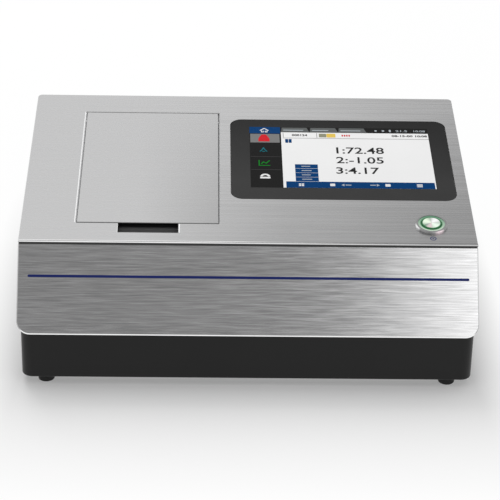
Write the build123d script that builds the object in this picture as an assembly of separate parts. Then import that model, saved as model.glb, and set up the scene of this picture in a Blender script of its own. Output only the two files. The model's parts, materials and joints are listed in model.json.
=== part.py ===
from build123d import *
import os
from math import asin, cos, degrees, radians, sin, sqrt, tan

# Benchtop colorimeter. Millimetres and degrees. +X right, +Y back, +Z up.
# The origin is under the middle of the instrument, on the surface that its feet stand on.

# ---- Outer form ----
case_width = 370.0        # steel skin, side to side
foot_height = 7.0
base_height = 41.0        # black base, up to the lower edge of the fascia
fascia_rise = 60.0        # upright height of the leaning fascia
fascia_lean = 36.0        # its lean back from upright
top_length = 225.0        # top plate, measured along its slope
top_slope = 8.5
sheet = 2.0               # thickness of the steel skin
overhang = 3.0            # steel skin beyond the black casing, on every side
bevel = 0.8               # bright bevel round the fascia's free edges
fascia_corner = 11.0
fascia_seam = 1.5         # shadow gap under the front edge of the top plate
back_corner = 4.0         # back corners of the top plate

# ---- Black base and casing ----
case_corner = 9.0         # upright corners, in plan
base_wall = 4.0
base_floor = 3.0
base_edge = 1.0           # rounding of the base's lower edge
wrap_wall = 2.5
lip_height = 2.0          # tongue of the base inside the casing
lip_gap = 0.15
foot_radius = 6.65
foot_edge = 1.0
foot_inset_x = 19.3       # foot centre from the side of the base
foot_inset_y = 10.5       # foot centre from the front and back of the base
foot_recess_radius = 3.6
foot_recess_depth = 4.0
screw_radius = 1.5
screw_head_radius = 2.8
screw_head_height = 1.2
screw_gap = 0.05
foot_boss_radius = 5.0
foot_boss_height = 6.0
bracket_size = 12.0
bracket_sheet = 2.0
bracket_front = 42.0      # side brackets, from the front edge of the top plate
bracket_side = 7.5        # back brackets, inside the casing's sides
bracket_rise = 22.0       # fascia brackets, up from the fascia's lower edge
side_vent_count = 7
side_vent_width = 2.6
side_vent_length = 24.0
side_vent_pitch = 7.0
side_vent_back = 34.0     # last vent, from the back of the casing
side_vent_rise = 34.0     # middle of the vents above the base

# ---- Lid and its opening, in the plane of the top plate ----
lid_margin_left = 45.5    # steel beside the lid
lid_front = 26.2          # from the front edge of the top plate
lid_margin_back = 29.3    # steel behind the lid
lid_gap = 0.6             # at the lid's front and back
lid_gap_side = 0.4
lid_side_bevel = 1.1      # broken edges of the lid's opening at its sides
edge_chamfer = 0.4
pivot_setback = 11.0      # hinge axis in front of the lid's back edge
barrel_radius = 3.0
hinge_pin_radius = 1.0
running_gap = 0.05
hinge_end = 4.0           # thickness of the hinge bracket's end walls
hinge_wall = 1.5
hinge_depth = 16.0        # hinge bracket below the top plate
hinge_side_gap = 0.9      # between the lid's sides and the end walls
liner_flange = 1.2
liner_edge = 1.0          # flange inside the lid's sides and front
liner_plug = 5.0
liner_gap = 2.0           # plug inside the chamber walls
liner_corner = 3.0
liner_screw_inset = 8.0
seal_width = 3.5
seal_height = 0.8
seal_gap = 0.3            # between the closed seal and the ledge
magnet_radius = 3.0
magnet_in = 14.0          # magnets from the sides of the lid
magnet_back = 13.5        # magnets from the front of the lid
catch_height = 1.2

# ---- Finger recess in front of the lid ----
notch_offset = 0.45       # middle of the notch, right of the lid's middle
notch_width = 49.0
notch_front = 12.6
notch_depth = 6.5
notch_under_lid = 2.2     # how far the recess runs on under the lid
notch_wall = 1.5
notch_fillet = 1.5

# ---- Sample chamber ----
ledge_thickness = 3.0
ledge_front = 4.3         # ledge behind the lid's front edge
rim_out = 4.2             # flanges under the top plate, beside the lid opening
rim_back_gap = 0.6        # between the chamber's rim and the hinge barrel
chamber_inset = 6.5       # chamber walls inside the lid's sides
chamber_front_in = 18.1   # chamber behind the lid's front edge, level
chamber_back_in = 10.7    # chamber in front of the hinge axis, level
chamber_stand = 10.0      # chamber floor above the optical bench
chamber_wall = 3.0
axis_height = 21.0        # optical axis above the chamber floor
port_radius = 6.5
port_boss_radius = 13.0
port_boss_length = 5.0
window_radius = 8.9
window_thickness = 2.0
window_ring_inner = 7.0
window_ring_thickness = 2.6
port_gap = 0.1
tub_foot_radius = 5.0
tub_foot_inset = 9.0

# ---- Cuvette holder ----
holder_width = 60.0
holder_length = 44.0
holder_plate = 4.0
holder_block = 27.0
holder_height = 36.0
holder_edge = 2.0         # chamfer down the block's corners
holder_screw_inset = 7.0
well_size = 12.7
well_floor = 2.0
spring_space = 1.7        # room for the spring beside the cuvette
spring_thickness = 0.4
spring_width = 8.0
spring_clear = 0.2        # between the bowed spring and the cuvette
spring_end = 1.0          # spring short of the well's floor and mouth
beam_radius = 4.0
knob_radius = 5.0
knob_height = 7.0
knob_edge = 1.0

# ---- Optical bench and what stands on it ----
bench_rise = 2.0          # bench above the top of the base
bench_thickness = 3.0
bench_side_gap = 6.0
bench_reach = 4.0         # bench in front of and behind the chamber
bench_corner = 6.0
pillar_radius = 4.0
pillar_inset = 9.0
lens_barrel_outer = 11.0
lens_barrel_inner = 9.0
lens_barrel_length = 15.0
lens_thickness = 5.0
lens_edge = 2.0
lamp_plate = 4.0
lamp_plate_width = 40.0
lamp_plate_height = 50.0
lamp_foot_length = 12.0
lamp_board_size = 32.0
board_thickness = 1.6
lamp_chip_radius = 4.0
lamp_chip_height = 1.2
sink_base = 3.0
sink_fin_count = 9
sink_fin_thickness = 1.4
sink_depth = 8.0
sink_width = 36.0
sink_height = 42.0
sphere_outer = 27.0
sphere_inner = 24.5
sphere_flange = 29.0
sphere_flange_thickness = 3.0
sphere_port_outer = 10.0
sphere_stand_off = 28.0   # sphere centre from the chamber's port
sphere_exit_length = 8.0  # exit port beyond the sphere
bracket_length = 46.0
bracket_height = 20.0
bracket_thickness = 8.0
meter_length = 66.0
meter_width = 52.0
meter_height = 44.0
meter_wall = 2.5
meter_cover = 2.0
meter_gap = 0.2
meter_ahead = 22.0        # spectrometer's front wall, in front of the optical axis
snout_radius = 6.0

# ---- Main board ----
main_board_width = 162.0
main_board_length = 96.0
main_board_margin = 26.0  # from the right side of the base
main_board_setback = 34.3 # from the front of the base
chip_size = 16.0
chip_height = 2.0
header_length = 24.0
header_width = 8.0
header_height = 5.0
can_radius = 5.0
can_height = 14.0
can_inset = 14.0
can_pitch = 13.0
can_count = 3
standoff_height = 9.0
standoff_radius = 3.0
standoff_inset = 6.0

# ---- Display, in the plane of the top plate ----
glass_margin_right = 10.5 # steel beside the glass
glass_front = 62.3        # from the front edge of the top plate
glass_margin_back = 38.7  # steel behind the glass
lid_glass_gap = 10.6      # steel between the lid and the glass
glass_corner = 10.0
glass_gap = 0.3
glass_thickness = 1.5
display_flange = 5.0      # tray's flange beyond the glass opening
display_flange_side = 3.6 # and at the right, beside the casing
tray_sheet = 1.5
screen_width = 165.0
screen_thickness = 5.8
border_left = 12.2        # glass beyond the display module
border_right = 11.1
border_front = 12.5
border_back = 7.5
screen_gap = 0.5
screen_drop = 0.2         # screen below the gasket's plane
tray_opening_x = 120.0
tray_opening_y = 60.0

# ---- Test button, in the plane of the top plate ----
button_margin = 35.8      # from the right side of the top plate
button_w = 26.5           # from its front edge
button_head_radius = 13.3
button_head_height = 2.2
button_head_bevel = 0.9
button_barrel_radius = 10.9
button_barrel_length = 20.0
button_bore = 8.3
light_ring_outer = 11.0
light_ring_inner = 8.2
light_ring_thickness = 1.6
light_ring_drop = 0.4
button_cap_radius = 7.7
button_cap_thickness = 3.0
button_cap_proud = 0.5
button_travel = 1.5
button_stem_radius = 3.0
button_stem_length = 24.7
nut_across = 27.0
nut_height = 4.0
contact_radius = 10.9
contact_height = 9.0
contact_pin_count = 4
contact_pin_width = 2.8
contact_pin_sheet = 0.8
contact_pin_length = 4.0

# ---- Back of the instrument ----
rear_side = 32.0          # window in from the casing's sides
rear_below = 16.0         # casing below the window
rear_above = 18.6         # casing above the window
rear_window_corner = 4.0
rear_margin = 8.0         # panel beyond the window
rear_sheet = 1.5
fitting_corner = 1.0
fan_margin = 77.0         # fan from the casing's left side
fan_size = 40.0
fan_corner = 3.0
fan_depth = 10.0
fan_gap = 0.3             # rotor from the frame's arms
fan_setback = 0.6         # rotor from the rear panel
fan_bore = 18.6
fan_tip = 17.9
fan_hub = 8.0
fan_blade_count = 7
fan_blade_thickness = 1.0
fan_blade_chord = 8.0
fan_blade_pitch = 38.0
fan_arm_width = 2.5
fan_arm_thickness = 1.5
fan_hole_pitch = 32.0
fan_shaft_radius = 1.5
grille_slot = 3.0
grille_pitch = 5.2
grille_radius = 18.0
switch_step = 24.0        # switch from the inlet
switch_bezel_width = 15.0
switch_bezel_height = 21.0
switch_bezel_thickness = 1.5
switch_body_width = 12.8
switch_body_height = 19.0
switch_body_depth = 14.0
rocker_width = 9.8
rocker_gap = 0.3
rocker_half = 7.6
rocker_proud = 2.6
rocker_valley = 1.3
rocker_depth = 2.6
rocker_tilt = 7.0
rocker_pivot_depth = 2.0
trunnion_radius = 1.2
jack_margin = 40.0        # inlet from the casing's right side
jack_nut_radius = 5.6
jack_nut_thickness = 1.6
jack_barrel_radius = 4.0
jack_length = 13.0
jack_bore = 2.8
jack_pin_radius = 0.95
jack_bore_depth = 9.0
jack_pin_drop = 0.8
usb_b_step = 34.0         # from the switch
usb_b_width = 12.0
usb_b_height = 11.0
usb_b_tongue_width = 5.6
usb_b_tongue_height = 3.2
usb_a_step = 26.0
usb_a_width = 13.2
usb_a_height = 5.8
usb_a_tongue_width = 11.0
usb_a_tongue_height = 1.8
usb_depth = 16.0
usb_back = 4.0            # closed back of the shell
usb_wall = 0.5
usb_proud = 0.6
usb_tongue_drop = 1.0
serial_step = 38.0
serial_flange_width = 31.0
serial_flange_height = 12.5
serial_flange_thickness = 1.0
serial_shell_width = 17.0
serial_shell_height = 8.4
serial_shell_depth = 2.5
serial_shell_corner = 2.5
serial_body_depth = 9.0
serial_screw_pitch = 25.0
serial_screw_radius = 2.2

# ---- Worked out from the sizes above ----
MIN, MID = Align.MIN, Align.CENTER
lean = radians(fascia_lean)
slope = radians(top_slope)
base_top = foot_height + base_height
floor_top = foot_height + base_floor
bevel_trim = bevel * sin(lean)
depth = fascia_rise * tan(lean) + top_length * cos(slope) - bevel_trim
back_y = depth / 2
fascia_y = -depth / 2 - bevel_trim                     # sharp lower edge of the fascia
plate_y = fascia_y + fascia_rise * tan(lean)           # front edge of the top plate's underside
top_y = plate_y - sheet * sin(slope)
top_z = base_top + fascia_rise + sheet * cos(slope)    # front edge of the top surface
reach = case_width + top_length                        # longer than anything to be cut

casing_half = case_width / 2 - overhang
casing_front = fascia_y + overhang
casing_back = back_y - overhang
inner_half = casing_half - wrap_wall
rear_y = casing_back - wrap_wall                       # outer face of the rear panel

base_half = casing_half - base_wall

glass_width = border_left + screen_width + border_right
glass_back = top_length - glass_margin_back
glass_length = glass_back - glass_front
glass_right = case_width / 2 - glass_margin_right
glass_left = glass_right - glass_width
screen_left = glass_left + border_left
screen_right = screen_left + screen_width
screen_front = glass_front + border_front
screen_back = glass_back - border_back
tray_bottom = -sheet - screen_drop - screen_thickness - tray_sheet
button_x = case_width / 2 - button_margin

lid_left = lid_margin_left - case_width / 2
lid_right = glass_left - lid_glass_gap
lid_width = lid_right - lid_left
lid_back = top_length - lid_margin_back
lid_length = lid_back - lid_front
pivot_w = lid_back - pivot_setback
notch_left = (lid_left + lid_right - notch_width) / 2 + notch_offset

bench_top = base_top + bench_rise
bench_half = base_half - bench_side_gap
chamber_left = lid_left + chamber_inset
chamber_right = lid_right - chamber_inset
chamber_front = lid_front * cos(slope) + chamber_front_in
chamber_length = pivot_w * cos(slope) - chamber_back_in - chamber_front
chamber_y = top_y + chamber_front
chamber_floor = bench_top + chamber_stand
axis_x_left = chamber_left - chamber_wall - port_boss_length
axis_x_right = chamber_right + chamber_wall + port_boss_length
axis_y = chamber_y + chamber_length / 2
axis_z = chamber_floor + axis_height
ledge_h = -sheet - liner_flange - seal_height - seal_gap
sphere_x = axis_x_right + sphere_stand_off
holder_x = (chamber_left + chamber_right) / 2

main_board_right = casing_half - main_board_margin
main_board_left = main_board_right - main_board_width
main_board_front = casing_front + main_board_setback
main_board_back = main_board_front + main_board_length

rear_window_width = 2 * (casing_half - rear_side)
rear_window_bottom = base_top + rear_below
rear_window_top = base_top + fascia_rise + (casing_back - plate_y) * tan(slope) - rear_above
port_row_z = (rear_window_bottom + rear_window_top) / 2
jack_x = casing_half - jack_margin
switch_x = jack_x - switch_step
usb_b_x = switch_x - usb_b_step
usb_a_x = usb_b_x - usb_a_step
serial_x = usb_a_x - serial_step
fan_x = fan_margin - casing_half

# Local frames: the top surface (x across, y up the slope, z out), the face of the fascia (x across,
# y up the face, z out), and the top plate seen from the side (x up the slope, y out, z across).
TOP = Plane((0, top_y, top_z), x_dir=(1, 0, 0), z_dir=(0, -sin(slope), cos(slope)))
FACE = Plane((0, fascia_y, base_top), x_dir=(1, 0, 0), z_dir=(0, -cos(lean), sin(lean)))
SIDE = Plane((0, top_y, top_z), x_dir=(0, cos(slope), sin(slope)), z_dir=(1, 0, 0))
BUTTON = Plane(TOP * Pos(button_x, button_w, 0))


# ---- Plain forms ----
def block(x0, x1, y0, y1, z0, z1):
    return Pos(x0, y0, z0) * Box(x1 - x0, y1 - y0, z1 - z0, align=(MIN, MIN, MIN))


def rod(radius, x, y, z0, z1):
    return Pos(x, y, z0) * Cylinder(radius, z1 - z0, align=(MID, MID, MIN))


def rod_x(radius, y, z, x0, x1):
    return Pos(x0, y, z) * Rot(0, 90, 0) * Cylinder(radius, x1 - x0, align=(MID, MID, MIN))


def rod_y(radius, x, z, y0, y1):
    return Pos(x, y0, z) * Rot(-90, 0, 0) * Cylinder(radius, y1 - y0, align=(MID, MID, MIN))


def centred(x, y, width, length, z0, z1):
    return block(x - width / 2, x + width / 2, y - length / 2, y + length / 2, z0, z1)


def rounded(x0, x1, y0, y1, radius, z0, z1):
    outline = Pos((x0 + x1) / 2, (y0 + y1) / 2, z0) * RectangleRounded(x1 - x0, y1 - y0, radius)
    return extrude(outline, z1 - z0)


def back_plate(x, z, width, height, radius, y0, y1):
    """A rounded plate that stands upright, facing the back."""
    return Pos(x, y1, z) * Rot(90, 0, 0) * extrude(RectangleRounded(width, height, radius), y1 - y0)


def corners(x0, x1, y0, y1, inset=0.0):
    return [(x, y) for x in (x0 + inset, x1 - inset) for y in (y0 + inset, y1 - inset)]


def casing_slab(inset, z0, z1):
    """The casing's outline in plan, brought in by inset."""
    return rounded(-casing_half + inset, casing_half - inset, casing_front + inset, casing_back - inset,
                   case_corner - inset, z0, z1)


def bevelled_hole(x0, x1, y0, y1):
    """Cutter for an opening in the steel, with its upper edge broken."""
    hole = block(x0, x1, y0, y1, -2 * sheet, sheet)
    mouth = Rectangle(x1 - x0 + 2 * edge_chamfer, y1 - y0 + 2 * edge_chamfer)
    return hole + Pos((x0 + x1) / 2, (y0 + y1) / 2, 0) * extrude(mouth, -edge_chamfer, taper=45)


def side_bevel(x):
    """Cutter for the wider bevel along one side of the lid's opening."""
    width = lid_side_bevel * sqrt(2)
    return Pos(x, (lid_front + lid_back) / 2, 0) * Rot(0, 45, 0) * Box(width, lid_length + 2 * lid_gap, width)


def pan_screw(length):
    """Head above z = 0, shank below."""
    head = Cylinder(screw_head_radius, screw_head_height, align=(MID, MID, MIN))
    head = chamfer(head.edges().sort_by(Axis.Z)[-1], screw_head_height / 2)
    return head + rod(screw_radius - screw_gap, 0, 0, -length, 0)


# ---- Base, feet and casing ----
foot_places = corners(-casing_half + foot_inset_x, casing_half - foot_inset_x,
                      casing_front + foot_inset_y, casing_back - foot_inset_y)


def base_housing():
    tray = casing_slab(0, foot_height, base_top)
    tray = fillet(tray.faces().sort_by(Axis.Z)[0].edges(), base_edge)
    tray += casing_slab(wrap_wall + lip_gap, base_top, base_top + lip_height)
    tray -= casing_slab(base_wall, floor_top, base_top + 2 * lip_height)
    for x, y in foot_places:
        tray += rod(foot_boss_radius, x, y, floor_top, floor_top + foot_boss_height)
        tray -= rod(screw_radius, x, y, foot_height - 1, floor_top + foot_boss_height + 1)
    return tray


def rubber_foot(x, y):
    foot = rod(foot_radius, x, y, 0, foot_height)
    foot = fillet(foot.edges().sort_by(Axis.Z)[0], foot_edge)
    foot -= rod(foot_recess_radius, x, y, 0, foot_recess_depth)
    return foot - rod(screw_radius, x, y, 0, foot_height)


def foot_screw(x, y):
    head = rod(screw_head_radius, x, y, foot_recess_depth - screw_head_height, foot_recess_depth)
    return head + rod(screw_radius - screw_gap, x, y, foot_recess_depth, floor_top + foot_boss_height)


def above_plate():
    """Everything above the underside of the top plate."""
    return TOP * block(-reach, reach, -reach, reach, -sheet, reach)


def before_fascia():
    """Everything in front of the inner face of the fascia."""
    return FACE * block(-reach, reach, -reach, reach, -sheet, reach)


def casing_wrap():
    wrap = casing_slab(0, base_top, top_z + top_length * sin(slope))
    wrap -= casing_slab(wrap_wall, base_top - 1, reach)
    wrap -= above_plate()
    wrap -= before_fascia()
    wrap -= back_plate(0, port_row_z, rear_window_width, rear_window_height, rear_window_corner,
                       rear_y - 1, casing_back + 1)
    for x, z in rear_screw_places():
        wrap -= rod_y(screw_radius, x, z, rear_y - 1, casing_back + 1)
    slot = Rot(0, 90, 0) * extrude(SlotOverall(side_vent_length, side_vent_width), 2 * casing_half + 2)
    for i in range(side_vent_count):
        y = casing_back - side_vent_back - i * side_vent_pitch
        wrap -= Pos(-casing_half - 1, y, base_top + side_vent_rise) * slot
    return wrap


def angle_bracket(side, start):
    """Bracket against the casing's side, under the plane z = -sheet, from start up the face."""
    outer = side * inner_half
    leg = sorted((outer, outer - side * bracket_sheet))
    plate = sorted((outer, outer - side * bracket_size))
    end = start + bracket_size
    return (block(leg[0], leg[1], start, end, -sheet - bracket_size, -sheet)
            + block(plate[0], plate[1], start, end, -sheet - bracket_sheet, -sheet))


def back_bracket(side):
    """Bracket between the back wall and the top plate, which lean apart."""
    near = side * (inner_half - bracket_side)
    x0, x1 = sorted((near, near - side * bracket_size))
    z1 = base_top + fascia_rise + (rear_y - plate_y) * tan(slope)
    leg = block(x0, x1, rear_y - bracket_sheet, rear_y, z1 - bracket_size, z1) - above_plate()
    w1 = (rear_y - plate_y) / cos(slope)
    arm = TOP * block(x0, x1, w1 - bracket_size, w1, -sheet - bracket_sheet, -sheet)
    return leg + arm - block(-reach, reach, rear_y, reach, 0, reach)


def corner_brackets():
    brackets = [TOP * angle_bracket(side, bracket_front) for side in (-1, 1)]
    return brackets + [back_bracket(side) for side in (-1, 1)]


def fascia_brackets():
    return [FACE * angle_bracket(side, bracket_rise) for side in (-1, 1)]


def front_fascia():
    height = fascia_rise / cos(lean) - fascia_seam
    outline = Rectangle(case_width, height, align=(MID, MIN))
    outline = fillet(outline.vertices().sort_by(Axis.Y)[:2], fascia_corner)
    plate = extrude(outline, -sheet)
    free_edges = [e for e in plate.faces().sort_by(Axis.Z)[-1].edges() if e.center().Y < height - bevel]
    return FACE * chamfer(free_edges, bevel)


def top_plate():
    outline = Rectangle(case_width, top_length, align=(MID, MIN))
    outline = fillet(outline.vertices().sort_by(Axis.Y)[-2:], back_corner)
    plate = extrude(outline, -sheet)
    plate = chamfer(plate.faces().sort_by(Axis.Z)[-1].edges(), edge_chamfer)
    opening_left = lid_left - lid_gap_side
    opening_right = lid_right + lid_gap_side
    plate -= bevelled_hole(opening_left, opening_right, lid_front - lid_gap, lid_back + lid_gap)
    plate -= [side_bevel(x) for x in (opening_left, opening_right)]
    plate -= bevelled_hole(notch_left, notch_left + notch_width, notch_front, lid_front)
    plate -= rounded(glass_left - glass_gap, glass_left + glass_width + glass_gap, glass_front - glass_gap,
                     glass_front + glass_length + glass_gap, glass_corner + glass_gap, -2 * sheet, sheet)
    plate -= rod(button_barrel_radius + running_gap, button_x, button_w, -2 * sheet, sheet)
    return TOP * plate


def finger_recess():
    right = notch_left + notch_width
    back = lid_front + notch_under_lid
    cup = block(notch_left - notch_wall, right + notch_wall, notch_front - notch_wall, back + notch_wall,
                -sheet - notch_depth - notch_wall, -sheet)
    slide = Polyline((notch_front, 0), (notch_front, -sheet), (lid_front - notch_wall, -sheet - notch_depth),
                     (back, -sheet - notch_depth), (back, 0), close=True)
    hollow = make_face(slide)
    hollow = fillet(hollow.vertices().sort_by(Axis.Y)[:2], notch_fillet)
    return TOP * cup - Pos(notch_left, 0, 0) * (SIDE * extrude(hollow, notch_width))


# ---- Lid ----
def lid_plate():
    profile = Pos(lid_front, -sheet) * Rectangle(lid_length, sheet, align=(MIN, MIN))
    skin = Pos(lid_left, 0, 0) * (SIDE * extrude(profile, lid_width))
    skin = chamfer(max(skin.faces(), key=lambda f: f.normal_at().Z).edges(), edge_chamfer)
    barrel = Pos(pivot_w, -barrel_radius) * Circle(barrel_radius)
    skin += Pos(lid_left, 0, 0) * (SIDE * extrude(barrel, lid_width))
    bore = Pos(pivot_w, -barrel_radius) * Circle(hinge_pin_radius + running_gap)
    return skin - Pos(lid_left - 1, 0, 0) * (SIDE * extrude(bore, lid_width + 2))


liner_front = lid_front + ledge_front + liner_edge
liner_back = pivot_w - barrel_radius - liner_edge
magnet_places = [(x, lid_front + magnet_back) for x in (lid_left + magnet_in, lid_right - magnet_in)]
plug_front = (chamber_front + liner_gap) / cos(slope)
plug_back = (chamber_front + chamber_length - 2 * liner_gap) / cos(slope)
liner_screw_places = corners(chamber_left + liner_gap, chamber_right - liner_gap, plug_front, plug_back,
                             liner_screw_inset)


def lid_liner():
    under = -sheet - liner_flange
    liner = block(lid_left + liner_edge, lid_right - liner_edge, liner_front, liner_back, under, -sheet)
    liner += rounded(chamber_left + liner_gap, chamber_right - liner_gap, plug_front, plug_back,
                     liner_corner, under - liner_plug, under)
    for x, w in magnet_places:
        liner -= rod(magnet_radius + screw_gap, x, w, under - 1, 0)
    for x, w in liner_screw_places:
        liner -= rod(screw_radius, x, w, under - liner_plug - 1, 0)
    return TOP * liner


def lid_seal():
    x0, x1 = lid_left + liner_edge, lid_right - liner_edge
    top = -sheet - liner_flange
    ring = block(x0, x1, liner_front, liner_back, top - seal_height, top)
    ring -= block(x0 + seal_width, x1 - seal_width, liner_front + seal_width, liner_back - seal_width,
                  top - 2 * seal_height, top + 1)
    return TOP * ring


def lid_magnets():
    low = -sheet - liner_flange - seal_height
    return [TOP * rod(magnet_radius, x, w, low, -sheet) for x, w in magnet_places]


def catch_discs():
    return [TOP * rod(magnet_radius, x, w, ledge_h - catch_height, ledge_h) for x, w in magnet_places]


def liner_screws():
    low = -sheet - liner_flange - liner_plug
    turned = Rot(180, 0, 0) * pan_screw(-low - sheet)
    return [TOP * Pos(x, w, low) * turned for x, w in liner_screw_places]


def hinge_bracket():
    x0, x1 = lid_left - hinge_side_gap - hinge_end, lid_right + hinge_side_gap + hinge_end
    w0 = pivot_w - barrel_radius - rim_back_gap / 2
    w1 = lid_back + lid_gap + hinge_wall
    low = -sheet - hinge_depth
    channel = block(x0, x1, w0, w1 + hinge_wall, low, -sheet)
    channel -= block(x0 + hinge_end, x1 - hinge_end, w0 + hinge_wall, w1, low + hinge_wall, 0)
    channel -= block(x0 + hinge_end, x1 - hinge_end, w0 - 1, w1, -2 * barrel_radius - hinge_wall, 0)
    slot = Rectangle(2 * hinge_pin_radius, 2 * barrel_radius, align=(MID, MIN))
    saddle = Pos(pivot_w, -barrel_radius) * (Circle(hinge_pin_radius) + slot)
    return TOP * channel - Pos(x0 - 1, 0, 0) * (SIDE * extrude(saddle, x1 - x0 + 2))


def hinge_pin():
    length = lid_width + 2 * (hinge_side_gap + hinge_end)
    pin = Pos(pivot_w, -barrel_radius) * Circle(hinge_pin_radius)
    return Pos(lid_left - hinge_side_gap - hinge_end, 0, 0) * (SIDE * extrude(pin, length))


# ---- Sample chamber ----
def port_cutters(radius, x_in, x_out):
    """Matching holes through both port bosses, x_in to x_out measured outward from the chamber walls."""
    left = rod_x(radius, axis_y, axis_z, chamber_left - x_out, chamber_left - x_in)
    right = rod_x(radius, axis_y, axis_z, chamber_right + x_in, chamber_right + x_out)
    return [left, right]


def chamber_tub():
    x0, x1 = chamber_left - chamber_wall, chamber_right + chamber_wall
    y0, y1 = chamber_y - chamber_wall, chamber_y + chamber_length + chamber_wall
    rim_left, rim_right = lid_left - lid_gap_side - rim_out, lid_right + lid_gap_side + rim_out
    w0, w1 = lid_front + ledge_front, pivot_w - barrel_radius - rim_back_gap
    rim = block(rim_left, rim_right, w0, w1, ledge_h - ledge_thickness, -sheet)
    rim -= block(lid_left - lid_gap_side, lid_right + lid_gap_side, w0 - 1, w1 + 1, ledge_h, 0)
    for x, w in magnet_places:
        rim -= rod(magnet_radius, x, w, ledge_h - catch_height, ledge_h + 1)
    shaft = block(x0, x1, y0, y1, chamber_floor - chamber_wall, reach)
    shaft -= TOP * block(-reach, reach, -reach, reach, ledge_h - ledge_thickness / 2, reach)
    tub = shaft + TOP * rim
    tub -= block(chamber_left, chamber_right, chamber_y, chamber_y + chamber_length, chamber_floor, reach)
    for boss in port_cutters(port_boss_radius, chamber_wall / 2, chamber_wall + port_boss_length):
        tub += boss
    for hole in port_cutters(port_radius, -1, chamber_wall + port_boss_length + 1):
        tub -= hole
    seat = chamber_wall + port_boss_length - window_thickness - window_ring_thickness
    for hole in port_cutters(window_radius + port_gap, seat, chamber_wall + port_boss_length + 1):
        tub -= hole
    for x, y in corners(x0, x1, y0, y1, tub_foot_inset):
        tub += rod(tub_foot_radius, x, y, bench_top, chamber_floor - chamber_wall)
    return tub


def port_windows():
    seat = chamber_wall + port_boss_length - window_thickness - window_ring_thickness
    return port_cutters(window_radius, seat, seat + window_thickness)


def port_rings():
    start = chamber_wall + port_boss_length - window_ring_thickness
    discs = port_cutters(window_radius + port_gap / 2, start, start + window_ring_thickness)
    holes = port_cutters(window_ring_inner, start - 1, start + window_ring_thickness + 1)
    return [disc - hole for disc, hole in zip(discs, holes)]


def cell_holder():
    plate_top = chamber_floor + holder_plate
    plate = centred(holder_x, axis_y, holder_width, holder_length, chamber_floor, plate_top)
    tower = centred(holder_x, axis_y, holder_block, holder_block, plate_top, plate_top + holder_height)
    tower = chamfer(tower.edges().filter_by(Axis.Z), holder_edge)
    holder = plate + tower
    well_bottom = plate_top + well_floor
    holder -= block(holder_x - well_size / 2, holder_x + well_size / 2, axis_y - well_size / 2,
                    axis_y + well_size / 2 + spring_space, well_bottom, plate_top + holder_height + 1)
    holder -= rod_x(beam_radius, axis_y, axis_z, holder_x - holder_block, holder_x + holder_block)
    for x, y in holder_screw_places:
        holder -= rod(screw_radius, x, y, chamber_floor - 1, plate_top + 1)
    return holder


holder_screw_places = [(holder_x + side * (holder_width / 2 - holder_screw_inset), axis_y) for side in (-1, 1)]


def cell_spring():
    """Leaf spring against the back wall of the well, bowed towards the cuvette."""
    back = axis_y + well_size / 2 + spring_space
    low = chamber_floor + holder_plate + well_floor + spring_end
    high = chamber_floor + holder_plate + holder_height - spring_end
    mid = (low + high) / 2
    bow = spring_space - spring_thickness - spring_clear
    outer = ThreePointArc((back, low), (back - bow, mid), (back, high))
    inner = ThreePointArc((back - spring_thickness, high), (back - bow - spring_thickness, mid),
                          (back - spring_thickness, low))
    outline = Curve() + [outer, Line(outer @ 1, inner @ 0), inner, Line(inner @ 1, outer @ 0)]
    leaf = extrude(make_face(outline), spring_width)
    return Plane((holder_x - spring_width / 2, 0, 0), x_dir=(0, 1, 0), z_dir=(1, 0, 0)) * leaf


def holder_screw(x, y):
    top = chamber_floor + holder_plate
    knob = rod(knob_radius, x, y, top, top + knob_height)
    knob = chamfer(knob.edges().sort_by(Axis.Z)[-1], knob_edge)
    return knob + rod(screw_radius - screw_gap, x, y, chamber_floor, top)


# ---- Optics ----
bench_y0 = chamber_y - bench_reach
bench_y1 = chamber_y + chamber_length + bench_reach


def optical_bench():
    return rounded(-bench_half, bench_half, bench_y0, bench_y1, bench_corner,
                   bench_top - bench_thickness, bench_top)


def bench_pillars():
    places = corners(-bench_half, bench_half, bench_y0, bench_y1, pillar_inset)
    return [rod(pillar_radius, x, y, floor_top, bench_top - bench_thickness) for x, y in places]


lamp_x = axis_x_left - lens_barrel_length              # front face of the lamp's plate


def lens_barrel():
    barrel = rod_x(lens_barrel_outer, axis_y, axis_z, lamp_x, axis_x_left)
    return barrel - rod_x(lens_barrel_inner, axis_y, axis_z, lamp_x - 1, axis_x_left + 1)


def collimator_lens():
    """Biconvex lens, turned about the optical axis."""
    sag = (lens_thickness - lens_edge) / 2
    curve = (lens_barrel_inner ** 2 + sag ** 2) / (2 * sag)
    spread = degrees(asin(lens_barrel_inner / curve))
    near = CenterArc((lens_thickness / 2 - curve, 0), curve, 0, spread)
    far = CenterArc((curve - lens_thickness / 2, 0), curve, 180 - spread, spread)
    outline = Curve() + [near, Line(near @ 1, far @ 0), far, Line(far @ 1, near @ 0)]
    lens = revolve(make_face(outline), Axis.X)
    return Pos(lamp_x + lens_barrel_length / 2, axis_y, axis_z) * lens


def lamp_housing():
    plate = block(lamp_x - lamp_plate, lamp_x, axis_y - lamp_plate_width / 2, axis_y + lamp_plate_width / 2,
                  bench_top, bench_top + lamp_plate_height)
    foot = block(lamp_x - lamp_plate, lamp_x + lamp_foot_length, axis_y - lamp_plate_width / 2,
                 axis_y + lamp_plate_width / 2, bench_top, bench_top + lamp_plate)
    return plate + foot - rod_x(lamp_chip_radius + 1, axis_y, axis_z, lamp_x - lamp_plate - 1, lamp_x + 1)


board_x = lamp_x - lamp_plate - board_thickness


def lamp_board():
    half = lamp_board_size / 2
    front = board_x + board_thickness
    board = block(board_x, front, axis_y - half, axis_y + half, axis_z - half, axis_z + half)
    return board + rod_x(lamp_chip_radius, axis_y, axis_z, board_x, front + lamp_chip_height)


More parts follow.
